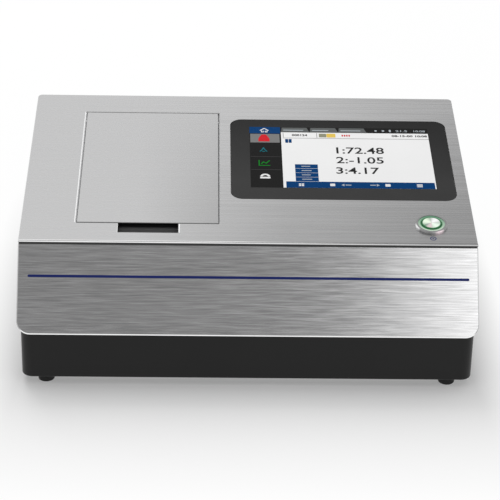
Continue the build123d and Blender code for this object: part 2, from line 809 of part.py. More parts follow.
def lamp_heatsink():
    """Base plate with upright fins that face the side of the casing."""
    y0, y1 = axis_y - sink_width / 2, axis_y + sink_width / 2
    z0, z1 = axis_z - sink_height / 2, axis_z + sink_height / 2
    sink = block(board_x - sink_base, board_x, y0, y1, z0, z1)
    pitch = (sink_width - sink_fin_thickness) / (sink_fin_count - 1)
    for i in range(sink_fin_count):
        y = y0 + i * pitch
        sink += block(board_x - sink_base - sink_depth, board_x - sink_base, y, y + sink_fin_thickness, z0, z1)
    return sink


def sphere_half(side):
    """Half of the integrating sphere; side is -1 towards the chamber and 1 towards the spectrometer."""
    port_end = sphere_stand_off if side < 0 else sphere_outer + sphere_exit_length
    flange_angle = degrees(asin(sphere_flange_thickness / sphere_outer))
    port_angle = degrees(asin(sphere_port_outer / sphere_outer))
    bore_angle = degrees(asin(port_radius / sphere_inner))
    outer = CenterArc((0, 0), sphere_outer, port_angle, 90 - flange_angle - port_angle)
    inner = CenterArc((0, 0), sphere_inner, bore_angle, 90 - bore_angle)
    joint = Polyline(inner @ 1, (0, sphere_flange), (sphere_flange_thickness, sphere_flange), outer @ 1)
    port = Polyline(outer @ 0, (port_end, sphere_port_outer), (port_end, port_radius), inner @ 0)
    half = revolve(make_face(Curve() + [outer, inner, joint, port]), Axis.X)
    if side < 0:
        half = mirror(half, about=Plane.YZ)
    return Pos(sphere_x, axis_y, axis_z) * half


def sphere_bracket():
    x0 = sphere_x + sphere_flange_thickness + meter_gap
    cradle = block(x0, x0 + bracket_thickness, axis_y - bracket_length / 2, axis_y + bracket_length / 2,
                   bench_top, bench_top + bracket_height)
    return cradle - Pos(sphere_x, axis_y, axis_z) * Sphere(sphere_outer + port_gap)


meter_x0 = sphere_x + sphere_outer + sphere_exit_length
meter_x1 = meter_x0 + meter_length
meter_y0 = axis_y - meter_ahead
meter_y1 = meter_y0 + meter_width
meter_z1 = bench_top + meter_height


def spectrometer_case():
    case = block(meter_x0, meter_x1, meter_y0, meter_y1, bench_top, meter_z1)
    case -= block(meter_x0 + meter_wall, meter_x1 - meter_wall, meter_y0 + meter_wall, meter_y1 - meter_wall,
                  bench_top + meter_wall, meter_z1 + 1)
    return case - rod_x(snout_radius, axis_y, axis_z, meter_x0 - 1, meter_x0 + meter_wall + 1)


def spectrometer_cover():
    return block(meter_x0, meter_x1, meter_y0, meter_y1, meter_z1, meter_z1 + meter_cover)


def sensor_board():
    return block(meter_x1, meter_x1 + board_thickness, meter_y0, meter_y1, bench_top + meter_wall, meter_z1)


# ---- Electronics ----
def main_board():
    z0 = floor_top + standoff_height
    z1 = z0 + board_thickness
    board = block(main_board_left, main_board_right, main_board_front, main_board_back, z0, z1)
    y = (main_board_front + main_board_back) / 2
    board += centred((main_board_left + main_board_right) / 2, y, chip_size, chip_size, z1, z1 + chip_height)
    board += centred(main_board_left + main_board_width / 4, y, header_length, header_width,
                     z1, z1 + header_height)
    for i in range(can_count):
        board += rod(can_radius, main_board_right - can_inset - i * can_pitch, main_board_back - can_inset,
                     z1, z1 + can_height)
    return board


def board_standoffs():
    places = corners(main_board_left, main_board_right, main_board_front, main_board_back, standoff_inset)
    return [rod(standoff_radius, x, y, floor_top, floor_top + standoff_height) for x, y in places]


# ---- Display ----
def screen_pocket(z0, z1):
    return block(screen_left - screen_gap, screen_right + screen_gap, screen_front - screen_gap,
                 screen_back + screen_gap, z0, z1)


def display_frame():
    flange = block(glass_left - display_flange, glass_right + display_flange_side, glass_front - display_flange,
                   glass_back + display_flange, -sheet - tray_sheet, -sheet)
    edge = screen_gap + tray_sheet
    walls = block(screen_left - edge, screen_right + edge, screen_front - edge, screen_back + edge,
                  tray_bottom, -sheet)
    tray = flange + walls - screen_pocket(tray_bottom + tray_sheet, 0)
    mid_x, mid_w = (screen_left + screen_right) / 2, (screen_front + screen_back) / 2
    return TOP * (tray - centred(mid_x, mid_w, tray_opening_x, tray_opening_y, tray_bottom - 1, 0))


def lcd_panel():
    low = tray_bottom + tray_sheet
    return TOP * block(screen_left, screen_right, screen_front, screen_back, low, low + screen_thickness)


def display_gasket():
    ring = rounded(glass_left, glass_right, glass_front, glass_back, glass_corner, -sheet, -glass_thickness)
    return TOP * (ring - screen_pocket(-2 * sheet, 0))


def touch_glass():
    glass = rounded(glass_left, glass_right, glass_front, glass_back, glass_corner, -glass_thickness, 0)
    return TOP * chamfer(glass.faces().sort_by(Axis.Z)[-1].edges(), glass_gap)


# ---- Test button ----
def button_bezel():
    seat = button_head_height - light_ring_drop - light_ring_thickness
    outline = Polyline((button_bore, seat), (button_bore, -button_barrel_length),
                       (button_barrel_radius, -button_barrel_length), (button_barrel_radius, 0),
                       (button_head_radius, 0), (button_head_radius, button_head_height - button_head_bevel),
                       (button_head_radius - button_head_bevel, button_head_height),
                       (light_ring_outer, button_head_height), (light_ring_outer, seat), close=True)
    return BUTTON * revolve(Plane.XZ * make_face(outline), Axis.Z)


def button_light_ring():
    low = button_head_height - light_ring_drop - light_ring_thickness
    ring = rod(light_ring_outer, 0, 0, low, low + light_ring_thickness)
    return BUTTON * (ring - rod(light_ring_inner, 0, 0, low - 1, low + light_ring_thickness + 1))


cap_top = button_head_height + button_cap_proud


def button_cap():
    cap = rod(button_cap_radius, 0, 0, cap_top - button_cap_thickness, cap_top)
    cap = chamfer(cap.edges().sort_by(Axis.Z)[-1], edge_chamfer)
    return BUTTON * (cap + rod(button_stem_radius, 0, 0, cap_top - button_cap_thickness - button_stem_length,
                               cap_top - button_cap_thickness))


def button_nut():
    nut = extrude(RegularPolygon(nut_across / 2, 6, major_radius=False), nut_height)
    nut = Pos(0, 0, -sheet - nut_height) * nut
    return BUTTON * (nut - rod(button_barrel_radius + screw_gap, 0, 0, -reach, 0))


def button_contact_block():
    top = -button_barrel_length
    can = rod(contact_radius, 0, 0, top - contact_height, top)
    well = cap_top - button_cap_thickness - button_stem_length - button_travel - 1.0
    can -= rod(button_stem_radius + running_gap, 0, 0, well, top + 1)
    for i in range(contact_pin_count):
        place = Rot(0, 0, 45 + 360 * i / contact_pin_count) * Pos(contact_radius * 0.7, 0, 0)
        can += place * centred(0, 0, contact_pin_sheet, contact_pin_width,
                               top - contact_height - contact_pin_length, top - contact_height)
    return BUTTON * can


# ---- Back of the instrument ----
rear_window_height = rear_window_top - rear_window_bottom


def rear_screw_places():
    half_x = rear_window_width / 2 + rear_margin / 2
    half_z = rear_window_height / 2 + rear_margin / 2
    return [(x, port_row_z + z) for x in (-half_x, 0, half_x) for z in (-half_z, half_z)]


def fan_grille():
    """Slots of a round grille, their ends on one circle."""
    count = int(grille_radius / grille_pitch)
    slots = []
    for i in range(-count, count + 1):
        z = i * grille_pitch
        length = 2 * (grille_radius ** 2 - z ** 2) ** 0.5
        if length > 2 * grille_slot:
            slots.append(back_plate(fan_x, port_row_z + z, length, grille_slot, grille_slot / 2 - 0.01,
                                    rear_y - rear_sheet - 1, rear_y + 1))
    return slots


fan_holes = corners(fan_x - fan_hole_pitch / 2, fan_x + fan_hole_pitch / 2, port_row_z - fan_hole_pitch / 2,
                    port_row_z + fan_hole_pitch / 2)


rear_cutouts = [(switch_x, switch_body_width, switch_body_height), (usb_b_x, usb_b_width, usb_b_height),
                (usb_a_x, usb_a_width, usb_a_height), (serial_x, serial_shell_width, serial_shell_height)]


def rear_panel():
    y0, y1 = rear_y - rear_sheet, rear_y
    panel_width = rear_window_width + 2 * rear_margin
    panel_height = rear_window_height + 2 * rear_margin
    panel = back_plate(0, port_row_z, panel_width, panel_height, rear_window_corner, y0, y1)
    for x, z in rear_screw_places() + fan_holes:
        panel -= rod_y(screw_radius, x, z, y0 - 1, y1 + 1)
    for slot in fan_grille():
        panel -= slot
    for x, width, height in rear_cutouts:
        z0, z1 = port_row_z - height / 2, port_row_z + height / 2
        panel -= block(x - width / 2, x + width / 2, y0 - 1, y1 + 1, z0, z1)
    return panel - rod_y(jack_barrel_radius, jack_x, port_row_z, y0 - 1, y1 + 1)


def rear_panel_screws():
    turned = Rot(-90, 0, 0) * pan_screw(wrap_wall + rear_sheet)
    return [Pos(x, casing_back, z) * turned for x, z in rear_screw_places()]


def fan_frame():
    y1 = rear_y - rear_sheet
    y0 = y1 - fan_depth
    frame = back_plate(fan_x, port_row_z, fan_size, fan_size, fan_corner, y0, y1)
    frame -= rod_y(fan_bore, fan_x, port_row_z, y0 - 1, y1 + 1)
    arm = fan_arm_width / 2
    for width, height in ((fan_bore, arm), (arm, fan_bore)):
        frame += block(fan_x - width, fan_x + width, y0, y0 + fan_arm_thickness, port_row_z - height,
                       port_row_z + height)
    frame += rod_y(fan_hub, fan_x, port_row_z, y0, y0 + fan_arm_thickness)
    frame += rod_y(fan_shaft_radius, fan_x, port_row_z, y0, y0 + fan_depth - 2 * fan_arm_thickness)
    for x, z in fan_holes:
        frame -= rod_y(screw_radius, x, z, y0 - 1, y1 + 1)
    return frame


def fan_rotor():
    y1 = rear_y - rear_sheet
    y0 = y1 - fan_depth + fan_arm_thickness + fan_gap
    y2 = y1 - fan_setback
    rotor = rod_y(fan_hub, fan_x, port_row_z, y0, y2)
    mid = (y0 + y2) / 2
    blade_length = fan_tip - fan_hub / 2
    for i in range(fan_blade_count):
        blade = Rot(fan_blade_pitch, 0, 0) * Box(blade_length, fan_blade_chord, fan_blade_thickness,
                                                 align=(MIN, MID, MID))
        blade = Pos(fan_hub / 2, 0, 0) * blade
        rotor += Pos(fan_x, mid, port_row_z) * Rot(0, 360 * i / fan_blade_count, 0) * blade
    return rotor - rod_y(fan_shaft_radius + running_gap, fan_x, port_row_z, y0 - 1,
                         y1 - 2 * fan_arm_thickness + fan_gap)


def fan_screws():
    turned = Rot(-90, 0, 0) * pan_screw(rear_sheet + fan_depth)
    return [Pos(x, rear_y, z) * turned for x, z in fan_holes]


rocker_y = rear_y + switch_bezel_thickness - rocker_pivot_depth


def switch_frame():
    bezel = back_plate(switch_x, port_row_z, switch_bezel_width, switch_bezel_height, fitting_corner,
                       rear_y, rear_y + switch_bezel_thickness)
    body = back_plate(switch_x, port_row_z, switch_body_width, switch_body_height, fitting_corner,
                      rear_y - switch_body_depth, rear_y)
    frame = bezel + body
    half_x = rocker_width / 2 + rocker_gap
    half_z = rocker_half + rocker_proud / 2 - rocker_gap
    frame -= block(switch_x - half_x, switch_x + half_x, rocker_y - 2 * rocker_depth,
                   rear_y + 2 * switch_bezel_thickness, port_row_z - half_z, port_row_z + half_z)
    axle = half_x + (switch_body_width / 2 - half_x) / 2
    return frame - rod_x(trunnion_radius + running_gap, rocker_y, port_row_z, switch_x - axle, switch_x + axle)


def power_rocker():
    """Rocker about an axis along X, tilted to its off position."""
    outline = Polyline((rocker_proud, rocker_half), (rocker_valley, 0), (rocker_proud, -rocker_half),
                       (0, -rocker_half), (-rocker_depth, 0), (0, rocker_half), close=True)
    body = extrude(make_face(outline), rocker_width / 2, both=True)
    half_x = rocker_width / 2 + rocker_gap
    axle = half_x + (switch_body_width / 2 - half_x) / 2 - rocker_gap / 2
    body += rod(trunnion_radius, 0, 0, -axle, axle)
    upright = Plane((switch_x, rocker_y, port_row_z), x_dir=(0, 1, 0), z_dir=(1, 0, 0))
    return upright * Rot(0, 0, rocker_tilt) * body


def dc_jack():
    back = rear_y + jack_nut_thickness
    jack = rod_y(jack_nut_radius, jack_x, port_row_z, rear_y, back)
    jack += rod_y(jack_barrel_radius, jack_x, port_row_z, back - jack_length, back)
    jack -= rod_y(jack_bore, jack_x, port_row_z, back - jack_bore_depth, back + 1)
    return jack + rod_y(jack_pin_radius, jack_x, port_row_z, back - jack_bore_depth, back - jack_pin_drop)


def shell_socket(x, width, height, tongue_width, tongue_height):
    """A metal shell that fills its cut-out in the rear panel, with the tongue inside."""
    y0, y1 = rear_y - rear_sheet - usb_depth, rear_y + usb_proud
    z = port_row_z
    socket = block(x - width / 2, x + width / 2, y0, y1, z - height / 2, z + height / 2)
    w, h = width / 2 - usb_wall, height / 2 - usb_wall
    socket -= block(x - w, x + w, y0 + usb_back, y1 + 1, z - h, z + h)
    tw, th = tongue_width / 2, tongue_height / 2
    return socket + block(x - tw, x + tw, y0 + usb_back, y1 - usb_tongue_drop, z - th, z + th)


def usb_b_socket():
    return shell_socket(usb_b_x, usb_b_width, usb_b_height, usb_b_tongue_width, usb_b_tongue_height)


def usb_a_socket():
    return shell_socket(usb_a_x, usb_a_width, usb_a_height, usb_a_tongue_width, usb_a_tongue_height)


def serial_socket():
    plate_back = rear_y + serial_flange_thickness
    socket = back_plate(serial_x, port_row_z, serial_flange_width, serial_flange_height, fitting_corner,
                        rear_y, plate_back)
    half_x, half_z = serial_shell_width / 2, serial_shell_height / 2
    socket += block(serial_x - half_x, serial_x + half_x, rear_y - serial_body_depth, rear_y,
                    port_row_z - half_z, port_row_z + half_z)
    socket += back_plate(serial_x, port_row_z, serial_shell_width, serial_shell_height, serial_shell_corner,
                         rear_y, plate_back + serial_shell_depth)
    inner_width, inner_height = serial_shell_width - 2 * usb_wall, serial_shell_height - 2 * usb_wall
    socket -= back_plate(serial_x, port_row_z, inner_width, inner_height, serial_shell_corner - usb_wall,
                         rear_y + serial_flange_thickness / 2, plate_back + serial_shell_depth + 1)
    for side in (-1, 1):
        x = serial_x + side * serial_screw_pitch / 2
        hexagon = extrude(RegularPolygon(serial_screw_radius, 6), serial_shell_depth)
        socket += Pos(x, plate_back, port_row_z) * Rot(-90, 0, 0) * hexagon
    return socket


# ---- All pieces, by node ----
windows = port_windows()
rings = port_rings()
nodes = {
    "base_housing": base_housing(),
    "rubber_feet": [rubber_foot(x, y) for x, y in foot_places],
    "foot_screws": [foot_screw(x, y) for x, y in foot_places],
    "casing_wrap": casing_wrap(),
    "corner_brackets": corner_brackets(),
    "fascia_brackets": fascia_brackets(),
    "front_fascia": front_fascia(),
    "top_plate": top_plate(),
    "finger_recess": finger_recess(),
    "rear_panel": rear_panel(),
    "rear_panel_screws": rear_panel_screws(),
    "lid_plate": lid_plate(),
    "lid_liner": lid_liner(),
    "lid_seal": lid_seal(),
    "lid_magnets": lid_magnets(),
    "liner_screws": liner_screws(),
    "catch_discs": catch_discs(),
    "hinge_bracket": hinge_bracket(),
    "hinge_pin": hinge_pin(),
    "chamber_tub": chamber_tub(),
    "window_left": windows[0],
    "window_right": windows[1],
    "window_ring_left": rings[0],
    "window_ring_right": rings[1],
    "cell_holder": cell_holder(),
    "cell_spring": cell_spring(),
    "holder_screws": [holder_screw(x, y) for x, y in holder_screw_places],
    "optical_bench": optical_bench(),
    "bench_pillars": bench_pillars(),
    "lamp_housing": lamp_housing(),
    "lamp_board": lamp_board(),
    "lamp_heatsink": lamp_heatsink(),
    "lens_barrel": lens_barrel(),
    "collimator_lens": collimator_lens(),
    "sphere_half_left": sphere_half(-1),
    "sphere_half_right": sphere_half(1),
    "sphere_bracket": sphere_bracket(),
    "spectrometer_case": spectrometer_case(),
    "spectrometer_cover": spectrometer_cover(),
    "sensor_board": sensor_board(),
    "main_board": main_board(),
    "board_standoffs": board_standoffs(),
    "display_frame": display_frame(),
    "lcd_panel": lcd_panel(),
    "display_gasket": display_gasket(),
    "touch_glass": touch_glass(),
    "button_bezel": button_bezel(),
    "button_light_ring": button_light_ring(),
    "button_cap": button_cap(),
    "button_nut": button_nut(),
    "button_contact_block": button_contact_block(),
    "fan_frame": fan_frame(),
    "fan_rotor": fan_rotor(),
    "fan_screws": fan_screws(),
    "switch_frame": switch_frame(),
    "power_rocker": power_rocker(),
    "dc_jack": dc_jack(),
    "usb_b_socket": usb_b_socket(),
    "usb_a_socket": usb_a_socket(),
    "serial_socket": serial_socket(),
}

os.makedirs("parts", exist_ok=True)
for name, shape in nodes.items():
    if isinstance(shape, list):
        shape = Compound(children=[piece.solid() for piece in shape])
    export_step(shape, f"parts/{name}.step")
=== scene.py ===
"""Studio scene of a benchtop colorimeter: finishes, print, screen, light and camera round its CAD nodes."""
import json
from math import cos, radians, sin
from typing import NamedTuple

import bmesh
import bpy
from mathutils import Matrix, Vector


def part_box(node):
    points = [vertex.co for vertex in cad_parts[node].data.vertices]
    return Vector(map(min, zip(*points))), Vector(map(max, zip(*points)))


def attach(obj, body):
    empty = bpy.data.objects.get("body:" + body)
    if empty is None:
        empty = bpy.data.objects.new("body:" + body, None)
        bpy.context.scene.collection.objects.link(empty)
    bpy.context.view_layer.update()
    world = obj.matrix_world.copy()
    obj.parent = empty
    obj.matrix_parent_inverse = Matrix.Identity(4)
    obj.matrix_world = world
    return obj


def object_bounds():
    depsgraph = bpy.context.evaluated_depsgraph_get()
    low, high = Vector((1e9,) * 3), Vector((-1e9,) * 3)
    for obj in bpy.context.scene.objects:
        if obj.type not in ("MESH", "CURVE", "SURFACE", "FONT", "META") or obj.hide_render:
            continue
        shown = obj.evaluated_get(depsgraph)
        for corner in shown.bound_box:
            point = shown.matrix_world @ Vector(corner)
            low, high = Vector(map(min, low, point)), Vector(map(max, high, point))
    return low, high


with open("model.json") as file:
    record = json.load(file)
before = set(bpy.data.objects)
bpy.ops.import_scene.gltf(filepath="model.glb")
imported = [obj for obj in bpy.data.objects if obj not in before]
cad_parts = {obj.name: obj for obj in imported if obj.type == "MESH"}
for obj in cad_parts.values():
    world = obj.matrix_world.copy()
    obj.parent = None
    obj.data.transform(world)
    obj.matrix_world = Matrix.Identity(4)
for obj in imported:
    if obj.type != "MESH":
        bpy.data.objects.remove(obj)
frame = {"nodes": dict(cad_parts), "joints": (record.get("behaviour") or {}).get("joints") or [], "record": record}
cad_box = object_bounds()

MM = 0.001
METRE = 1000.0            # in millimetres
IMAGE_SIZE = 500

# ---- Camera, fitted to the photograph's perspective ----
FOCAL_PX = 1957.0
CAMERA_PLACE = (-0.0378, -1.4901, 0.8214)
CAMERA_PITCH = 27.15      # degrees below level
CAMERA_YAW = 1.59         # degrees to the right of +Y
CAMERA_ROLL = 1.29
SENSOR_WIDTH = 36.0
CLIP_END = 100.0

# ---- Lamp and floor, in metres and watts ----
LAMP_PLACE = (-0.35, 1.1, 1.25)
LAMP_TARGET = (0, 0, 0.05)
LAMP_SIZE = (1.0, 1.0)
LAMP_POWER = 10.5
FLOOR_SIZE = 6.0
FLOOR_CELLS = 8

# ---- Sizes that the frame doesn't give, in millimetres and degrees ----
FASCIA_LEAN = 36.0
SHEET = 2.0
BEVEL = 0.8
STRIPE_LEFT = -176.7
STRIPE_RIGHT = 177.5
STRIPE_LOW = 46.0         # up the fascia's face, from its lower edge
STRIPE_HIGH = 48.1
STRIPE_ROUNDING = 0.48    # radius of the stripe's corners, against its height
PRINT_THICKNESS = 0.03
MARK_BELOW = 18.6         # from the button's middle down the deck
MARK_RADIUS = 2.6
MARK_STROKE = 0.7

SCREEN_LEFT = 2.8         # visible screen, in the plane of the deck
SCREEN_FRONT = 79.4
SCREEN_WIDTH = 155.8
SCREEN_HEIGHT = 94.8
LAYER = 0.03              # step between the layers of the screen's picture

RECESS_DEEP = 6.4         # below the deck, where the floor of the finger recess begins, painted lighter than its walls
NOTCH_WALL = 1.5
NOTCH_FRONT = 12.6        # front of the notch, and of the lid, up the deck
LID_FRONT = 26.2
LID_SIDE_GAP = 0.4
OPENING_BEVEL = 1.1
# Painted highlights and a painted dim reflection on the top plate's rims
FRONT_RIM_TURN = 50.0     # along x, where the top plate's front rim is half way from its painted highlight to its painted dim reflection
FRONT_RIM_END = 300.0     # along x, past the top plate's end
OPENING_RIM = (-0.6, 0.2)         # across, from the edge of the lid's opening
NOTCH_RIM = 1.4                   # width of the rim beside the notch
FRONT_RIM = (-0.5, 1.1)           # up the deck: the front rim's painted highlight
DIM_RIM = (0.3, 1.5)              # and its painted dim reflection
RIM_SOFT = 0.1
FRONT_RIM_SOFT = 60.0
SEAM_SHADE = 1.4          # below the deck, where the top plate's front face is painted dark: a painted shade in the seam

STRIP_INSET = 0.4         # rubber strip in the seam, short of the fascia's ends
STRIP_DEPTH = 1.0         # its face, behind the face of the fascia
STRIP_WIDTH = 2.35
SEAM_GAP = 0.02


# ---- Local frames ----
ACROSS = Vector((1, 0, 0))
PRESS = next(joint for joint in frame["joints"] if joint["name"] == "button_press")
BUTTON_MIDDLE = Vector(PRESS["pos_m"])


def sheet_frame(origin, up, normal):
    """A sheet's own frame: x across, y up the sheet, z out of it."""
    columns = Matrix((ACROSS, up, normal)).transposed()
    return Matrix.Translation(origin) @ columns.to_4x4()


def deck_frame():
    """Deck's top surface, from its front edge. The push button moves square to it."""
    normal = -Vector(PRESS["axis"]).normalized()
    up = Vector((0, normal.z, -normal.y))
    low = Vector(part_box("top_plate")[0])
    origin = BUTTON_MIDDLE - up * ((BUTTON_MIDDLE.y - low.y) / up.y)
    origin.x = 0
    return sheet_frame(origin, up, normal)


def fascia_frame():
    """Fascia's face, from its lower edge."""
    lean = radians(FASCIA_LEAN)
    low = Vector(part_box("front_fascia")[0])
    origin = Vector((0, low.y - BEVEL * MM * sin(lean), low.z + SHEET * MM * sin(lean)))
    normal = Vector((0, -cos(lean), sin(lean)))
    up = Vector((0, sin(lean), cos(lean)))
    return sheet_frame(origin, up, normal)


def up_of(axes):
    return axes.col[1].to_3d()


def out_of(axes):
    return axes.col[2].to_3d()


DECK = deck_frame()
FASCIA = fascia_frame()
SCREEN = DECK @ Matrix.Translation((SCREEN_LEFT * MM, SCREEN_FRONT * MM, 0))


# ---- Node helpers ----
NOISE_LOW = 0.3           # nearly all of a noise lies between these
NOISE_HIGH = 0.7


class Nodes:
    """A node tree under construction."""

    def __init__(self, tree):
        self.tree = tree
        self.tree.nodes.clear()

    def node(self, kind, **settings):
        made = self.tree.nodes.new(kind)
        for key, value in settings.items():
            setattr(made, key, value)
        return made

    def feed(self, socket, value):
        """Links another node's output to a socket, or sets a number, vector or colour on it."""
        if isinstance(value, bpy.types.NodeSocket):
            self.tree.links.new(value, socket)
        elif socket.type == "RGBA":
            socket.default_value = (*value, 1)
        else:
            socket.default_value = value

    def fill(self, node, values):
        """Feeds a node's inputs by name or by number."""
        for key, value in values.items():
            self.feed(node.inputs[key], value)

    def math(self, operation, *values):
        made = self.node("ShaderNodeMath", operation=operation)
        self.fill(made, dict(enumerate(values)))
        return made.outputs[0]

    def product(self, value_a, value_b):
        return self.math("MULTIPLY", value_a, value_b)

    def span(self, value, low, high, from_low=NOISE_LOW, from_high=NOISE_HIGH, **settings):
        """Maps a value to the range low..high, held at its ends."""
        ranger = self.node("ShaderNodeMapRange", **settings)
        self.fill(ranger, {"Value": value, "From Min": from_low, "From Max": from_high,
                           "To Min": low, "To Max": high})
        return ranger.outputs["Result"]

    def choose(self, factor, shader_a, shader_b):
        """Shader a where the factor is 0, shader b where it is 1."""
        mixer = self.node("ShaderNodeMixShader")
        self.fill(mixer, {0: factor, 1: shader_a, 2: shader_b})
        return mixer.outputs[0]


class Shader(Nodes):
    """A material under construction, round its Principled shader."""

    def __init__(self, name):
        self.material = bpy.data.materials.new(name)
        self.material.use_nodes = True
        super().__init__(self.material.node_tree)
        self.output = self.node("ShaderNodeOutputMaterial")
        self.bsdf = self.node("ShaderNodeBsdfPrincipled")
        self.feed(self.output.inputs["Surface"], self.bsdf.outputs[0])

    def give(self, values):
        """Feeds the Principled shader's inputs by name."""
        self.fill(self.bsdf, values)

    def place(self):
        """The object's own coordinates."""
        return self.node("ShaderNodeTexCoord").outputs["Object"]

    def vector(self, operation, *values):
        made = self.node("ShaderNodeVectorMath", operation=operation)
        self.fill(made, dict(enumerate(values)))
        return made.outputs["Value" if operation in ("DOT_PRODUCT", "LENGTH") else "Vector"]

    def combine(self, **parts):
        made = self.node("ShaderNodeCombineXYZ")
        self.fill(made, parts)
        return made.outputs[0]

    def facing(self, direction):
        """How far the surface faces a direction, 1 when square to it."""
        normal = self.node("ShaderNodeTexCoord").outputs["Normal"]
        return self.vector("DOT_PRODUCT", normal, direction)

    def along(self, direction, origin=(0, 0, 0)):
        """Distance of the point from the origin along a direction, in millimetres."""
        offset = self.vector("SUBTRACT", self.place(), origin)
        return self.product(self.vector("DOT_PRODUCT", offset, direction), METRE)

    def noise(self, scale, detail=3.0, rough=0.5, stretch=(1, 1, 1), place=None):
        """Noise over the object's own coordinates, scale in features per metre."""
        mapping = self.node("ShaderNodeMapping")
        self.fill(mapping, {"Scale": stretch, "Vector": place or self.place()})
        texture = self.node("ShaderNodeTexNoise")
        self.fill(texture, {"Scale": scale, "Detail": detail, "Roughness": rough,
                            "Vector": mapping.outputs["Vector"]})
        return texture.outputs["Fac"]

    def rise(self, value, start, end):
        """0 up to the start, 1 from the end on."""
        return self.span(value, 0.0, 1.0, start, end)

    def fall(self, value, start, end):
        """1 up to the start, 0 from the end on."""
        return self.span(value, 1.0, 0.0, start, end)

    def within(self, value, low, high, soft=0.1):
        """1 between two limits, 0 outside them, with a soft step at each."""
        above = self.rise(value, low - soft, low + soft)
        below = self.fall(value, high - soft, high + soft)
        return self.product(above, below)

    def blend(self, factor, colour_a, colour_b):
        mixer = self.node("ShaderNodeMix", data_type="RGBA")
        self.fill(mixer, {"Factor": factor, 6: colour_a, 7: colour_b})
        return mixer.outputs[2]

    def mottle(self, noise, colour_a, colour_b):
        """Wanders between two colours with a noise."""
        return self.blend(self.span(noise, 0, 1), colour_a, colour_b)

    def bump(self, height, relief):
        """Normal of a relief, its depth in millimetres."""
        bumper = self.node("ShaderNodeBump")
        self.fill(bumper, {"Strength": 1.0, "Distance": relief * MM, "Height": height})
        return bumper.outputs["Normal"]


# ---- Colours ----
SRGB_STRAIGHT = 10        # of 255: up to here the sRGB curve is a straight line
SRGB_SLOPE = 12.92
SRGB_OFFSET = 0.055
SRGB_POWER = 2.4
BLACK = (0, 0, 0)
WHITE = (1, 1, 1)
STEEL_TINT = (1.0, 1.0, 1.005)
PAINTED_HIGHLIGHT = 0.98             # tone of steel painted as if it showed one of the studio's lights: a painted highlight
PAINTED_DIM_REFLECTION = 0.34                # and of steel painted as if it showed a dim part of it: a painted dim reflection


def linear(value):
    """Linear level of an sRGB value given as 0..255."""
    if value > SRGB_STRAIGHT:
        return ((value / 255 + SRGB_OFFSET) / (1 + SRGB_OFFSET)) ** SRGB_POWER
    return value / 255 / SRGB_SLOPE


def grey(value):
    return (linear(value),) * 3


def colour(red, green, blue):
    return tuple(linear(value) for value in (red, green, blue))


def steel_tone(level):
    return tuple(level * part for part in STEEL_TINT)


# ---- Brushed steel ----
class Brush(NamedTuple):
    """How a sheet of steel is brushed from side to side; lengths in millimetres."""
    tone: float
    contrast: float
    thick: float              # of a streak
    length: float
    wave: float               # how far a streak sways
    relief: float
    roughness: float
    swing: float              # of the roughness, to both sides
    lean: float               # sideways, of the streaks' faces
    grow: float               # along x, where the streaks grow stronger


class PaintedEdge(NamedTuple):
    """A bevel or cut edge painted with light by the direction it faces: a painted highlight where its tone is
    bright, a painted shade where it is dark.
    """
    direction: Vector
    square: float             # how squarely it faces there
    left: float               # its painted tones at the left and at the right
    right: float


class PaintedRim(NamedTuple):
    """A narrow rim painted with a highlight or a dim reflection, its limits in millimetres in the sheet's plane.
    """
    x0: float
    x1: float
    y0: float
    y1: float
    soft: float               # how softly it starts and ends along x
    tone: float


DECK_BRUSH = Brush(tone=0.60, contrast=0.076, thick=1.7, length=180.0, wave=0.8, relief=0.003,
                   roughness=0.28, swing=0.050, lean=0.014, grow=-70.0)
LID_BRUSH = Brush(tone=0.60, contrast=0.045, thick=1.5, length=150.0, wave=0.8, relief=0.003,
                  roughness=0.28, swing=0.050, lean=0.012, grow=-80.0)
FASCIA_BRUSH = Brush(tone=0.65, contrast=0.36, thick=1.1, length=26.0, wave=1.0, relief=0.003,
                     roughness=0.18, swing=0.018, lean=0.006, grow=400.0)

SWAY_SCALE = (30, 120, 120)       # of the streaks' sway, in features per metre
FINE_ALONG = 0.6                  # fine streaks against coarse ones, in features per length
FINE_ACROSS = 3
COARSE_SHARE = 0.65
FINE_SHARE = 0.35
WEAK = 2.0                        # gain of the streaks, before and past the place where they grow
STRONG = 7.0
GROW_BEFORE = 60
GROW_PAST = 90
CORNER_SHADE_ACROSS = (-90, 30)         # where the front right corner's painted shade sets in along x,
CORNER_SHADE_UP = (0, 230)              # and where it ends up the sheet
EDGE_TURN = (-60, 150)            # along x, where an edge's painted tone turns from its left to its right one
EDGE_SOFT = 0.06
# tone of the painted shade on the top plate's front face in the seam
SEAM_SHADE_TONE = 0.12
SEAM_SOFT = 0.1
FRONT_FACE = (0.84, 0.96)         # how squarely a front face looks down the sheet
SHEET_FACE = (0.90, 0.995)        # how squarely the sheet's face looks out, a cut edge less so
STREAK_RANGE = (0.36, 0.64)       # of the streaks' values, over which the roughness swings
EDGE_GLOSS = 0.12                 # how much less rough a cut edge is
ANISOTROPY = 0.7


def streak_pattern(shader, brush):
    """Long thin wavy streaks along x, coarse and fine ones, as values about 0.5."""
    sway = shader.noise(1.0, detail=2.0, stretch=SWAY_SCALE)
    shift = shader.product(shader.math("SUBTRACT", sway, 0.5), brush.wave * MM)
    place = shader.vector("ADD", shader.place(), shader.combine(Y=shift, Z=shift))
    along, up = METRE / brush.length, METRE / brush.thick
    coarse = shader.noise(1.0, rough=0.55, stretch=(along, up, up), place=place)
    along, up = METRE * FINE_ALONG / brush.length, METRE * FINE_ACROSS / brush.thick
    fine = shader.noise(1.0, detail=2.0, stretch=(along, up, up), place=place)
    return shader.math("ADD", shader.product(coarse, COARSE_SHARE), shader.product(fine, FINE_SHARE))


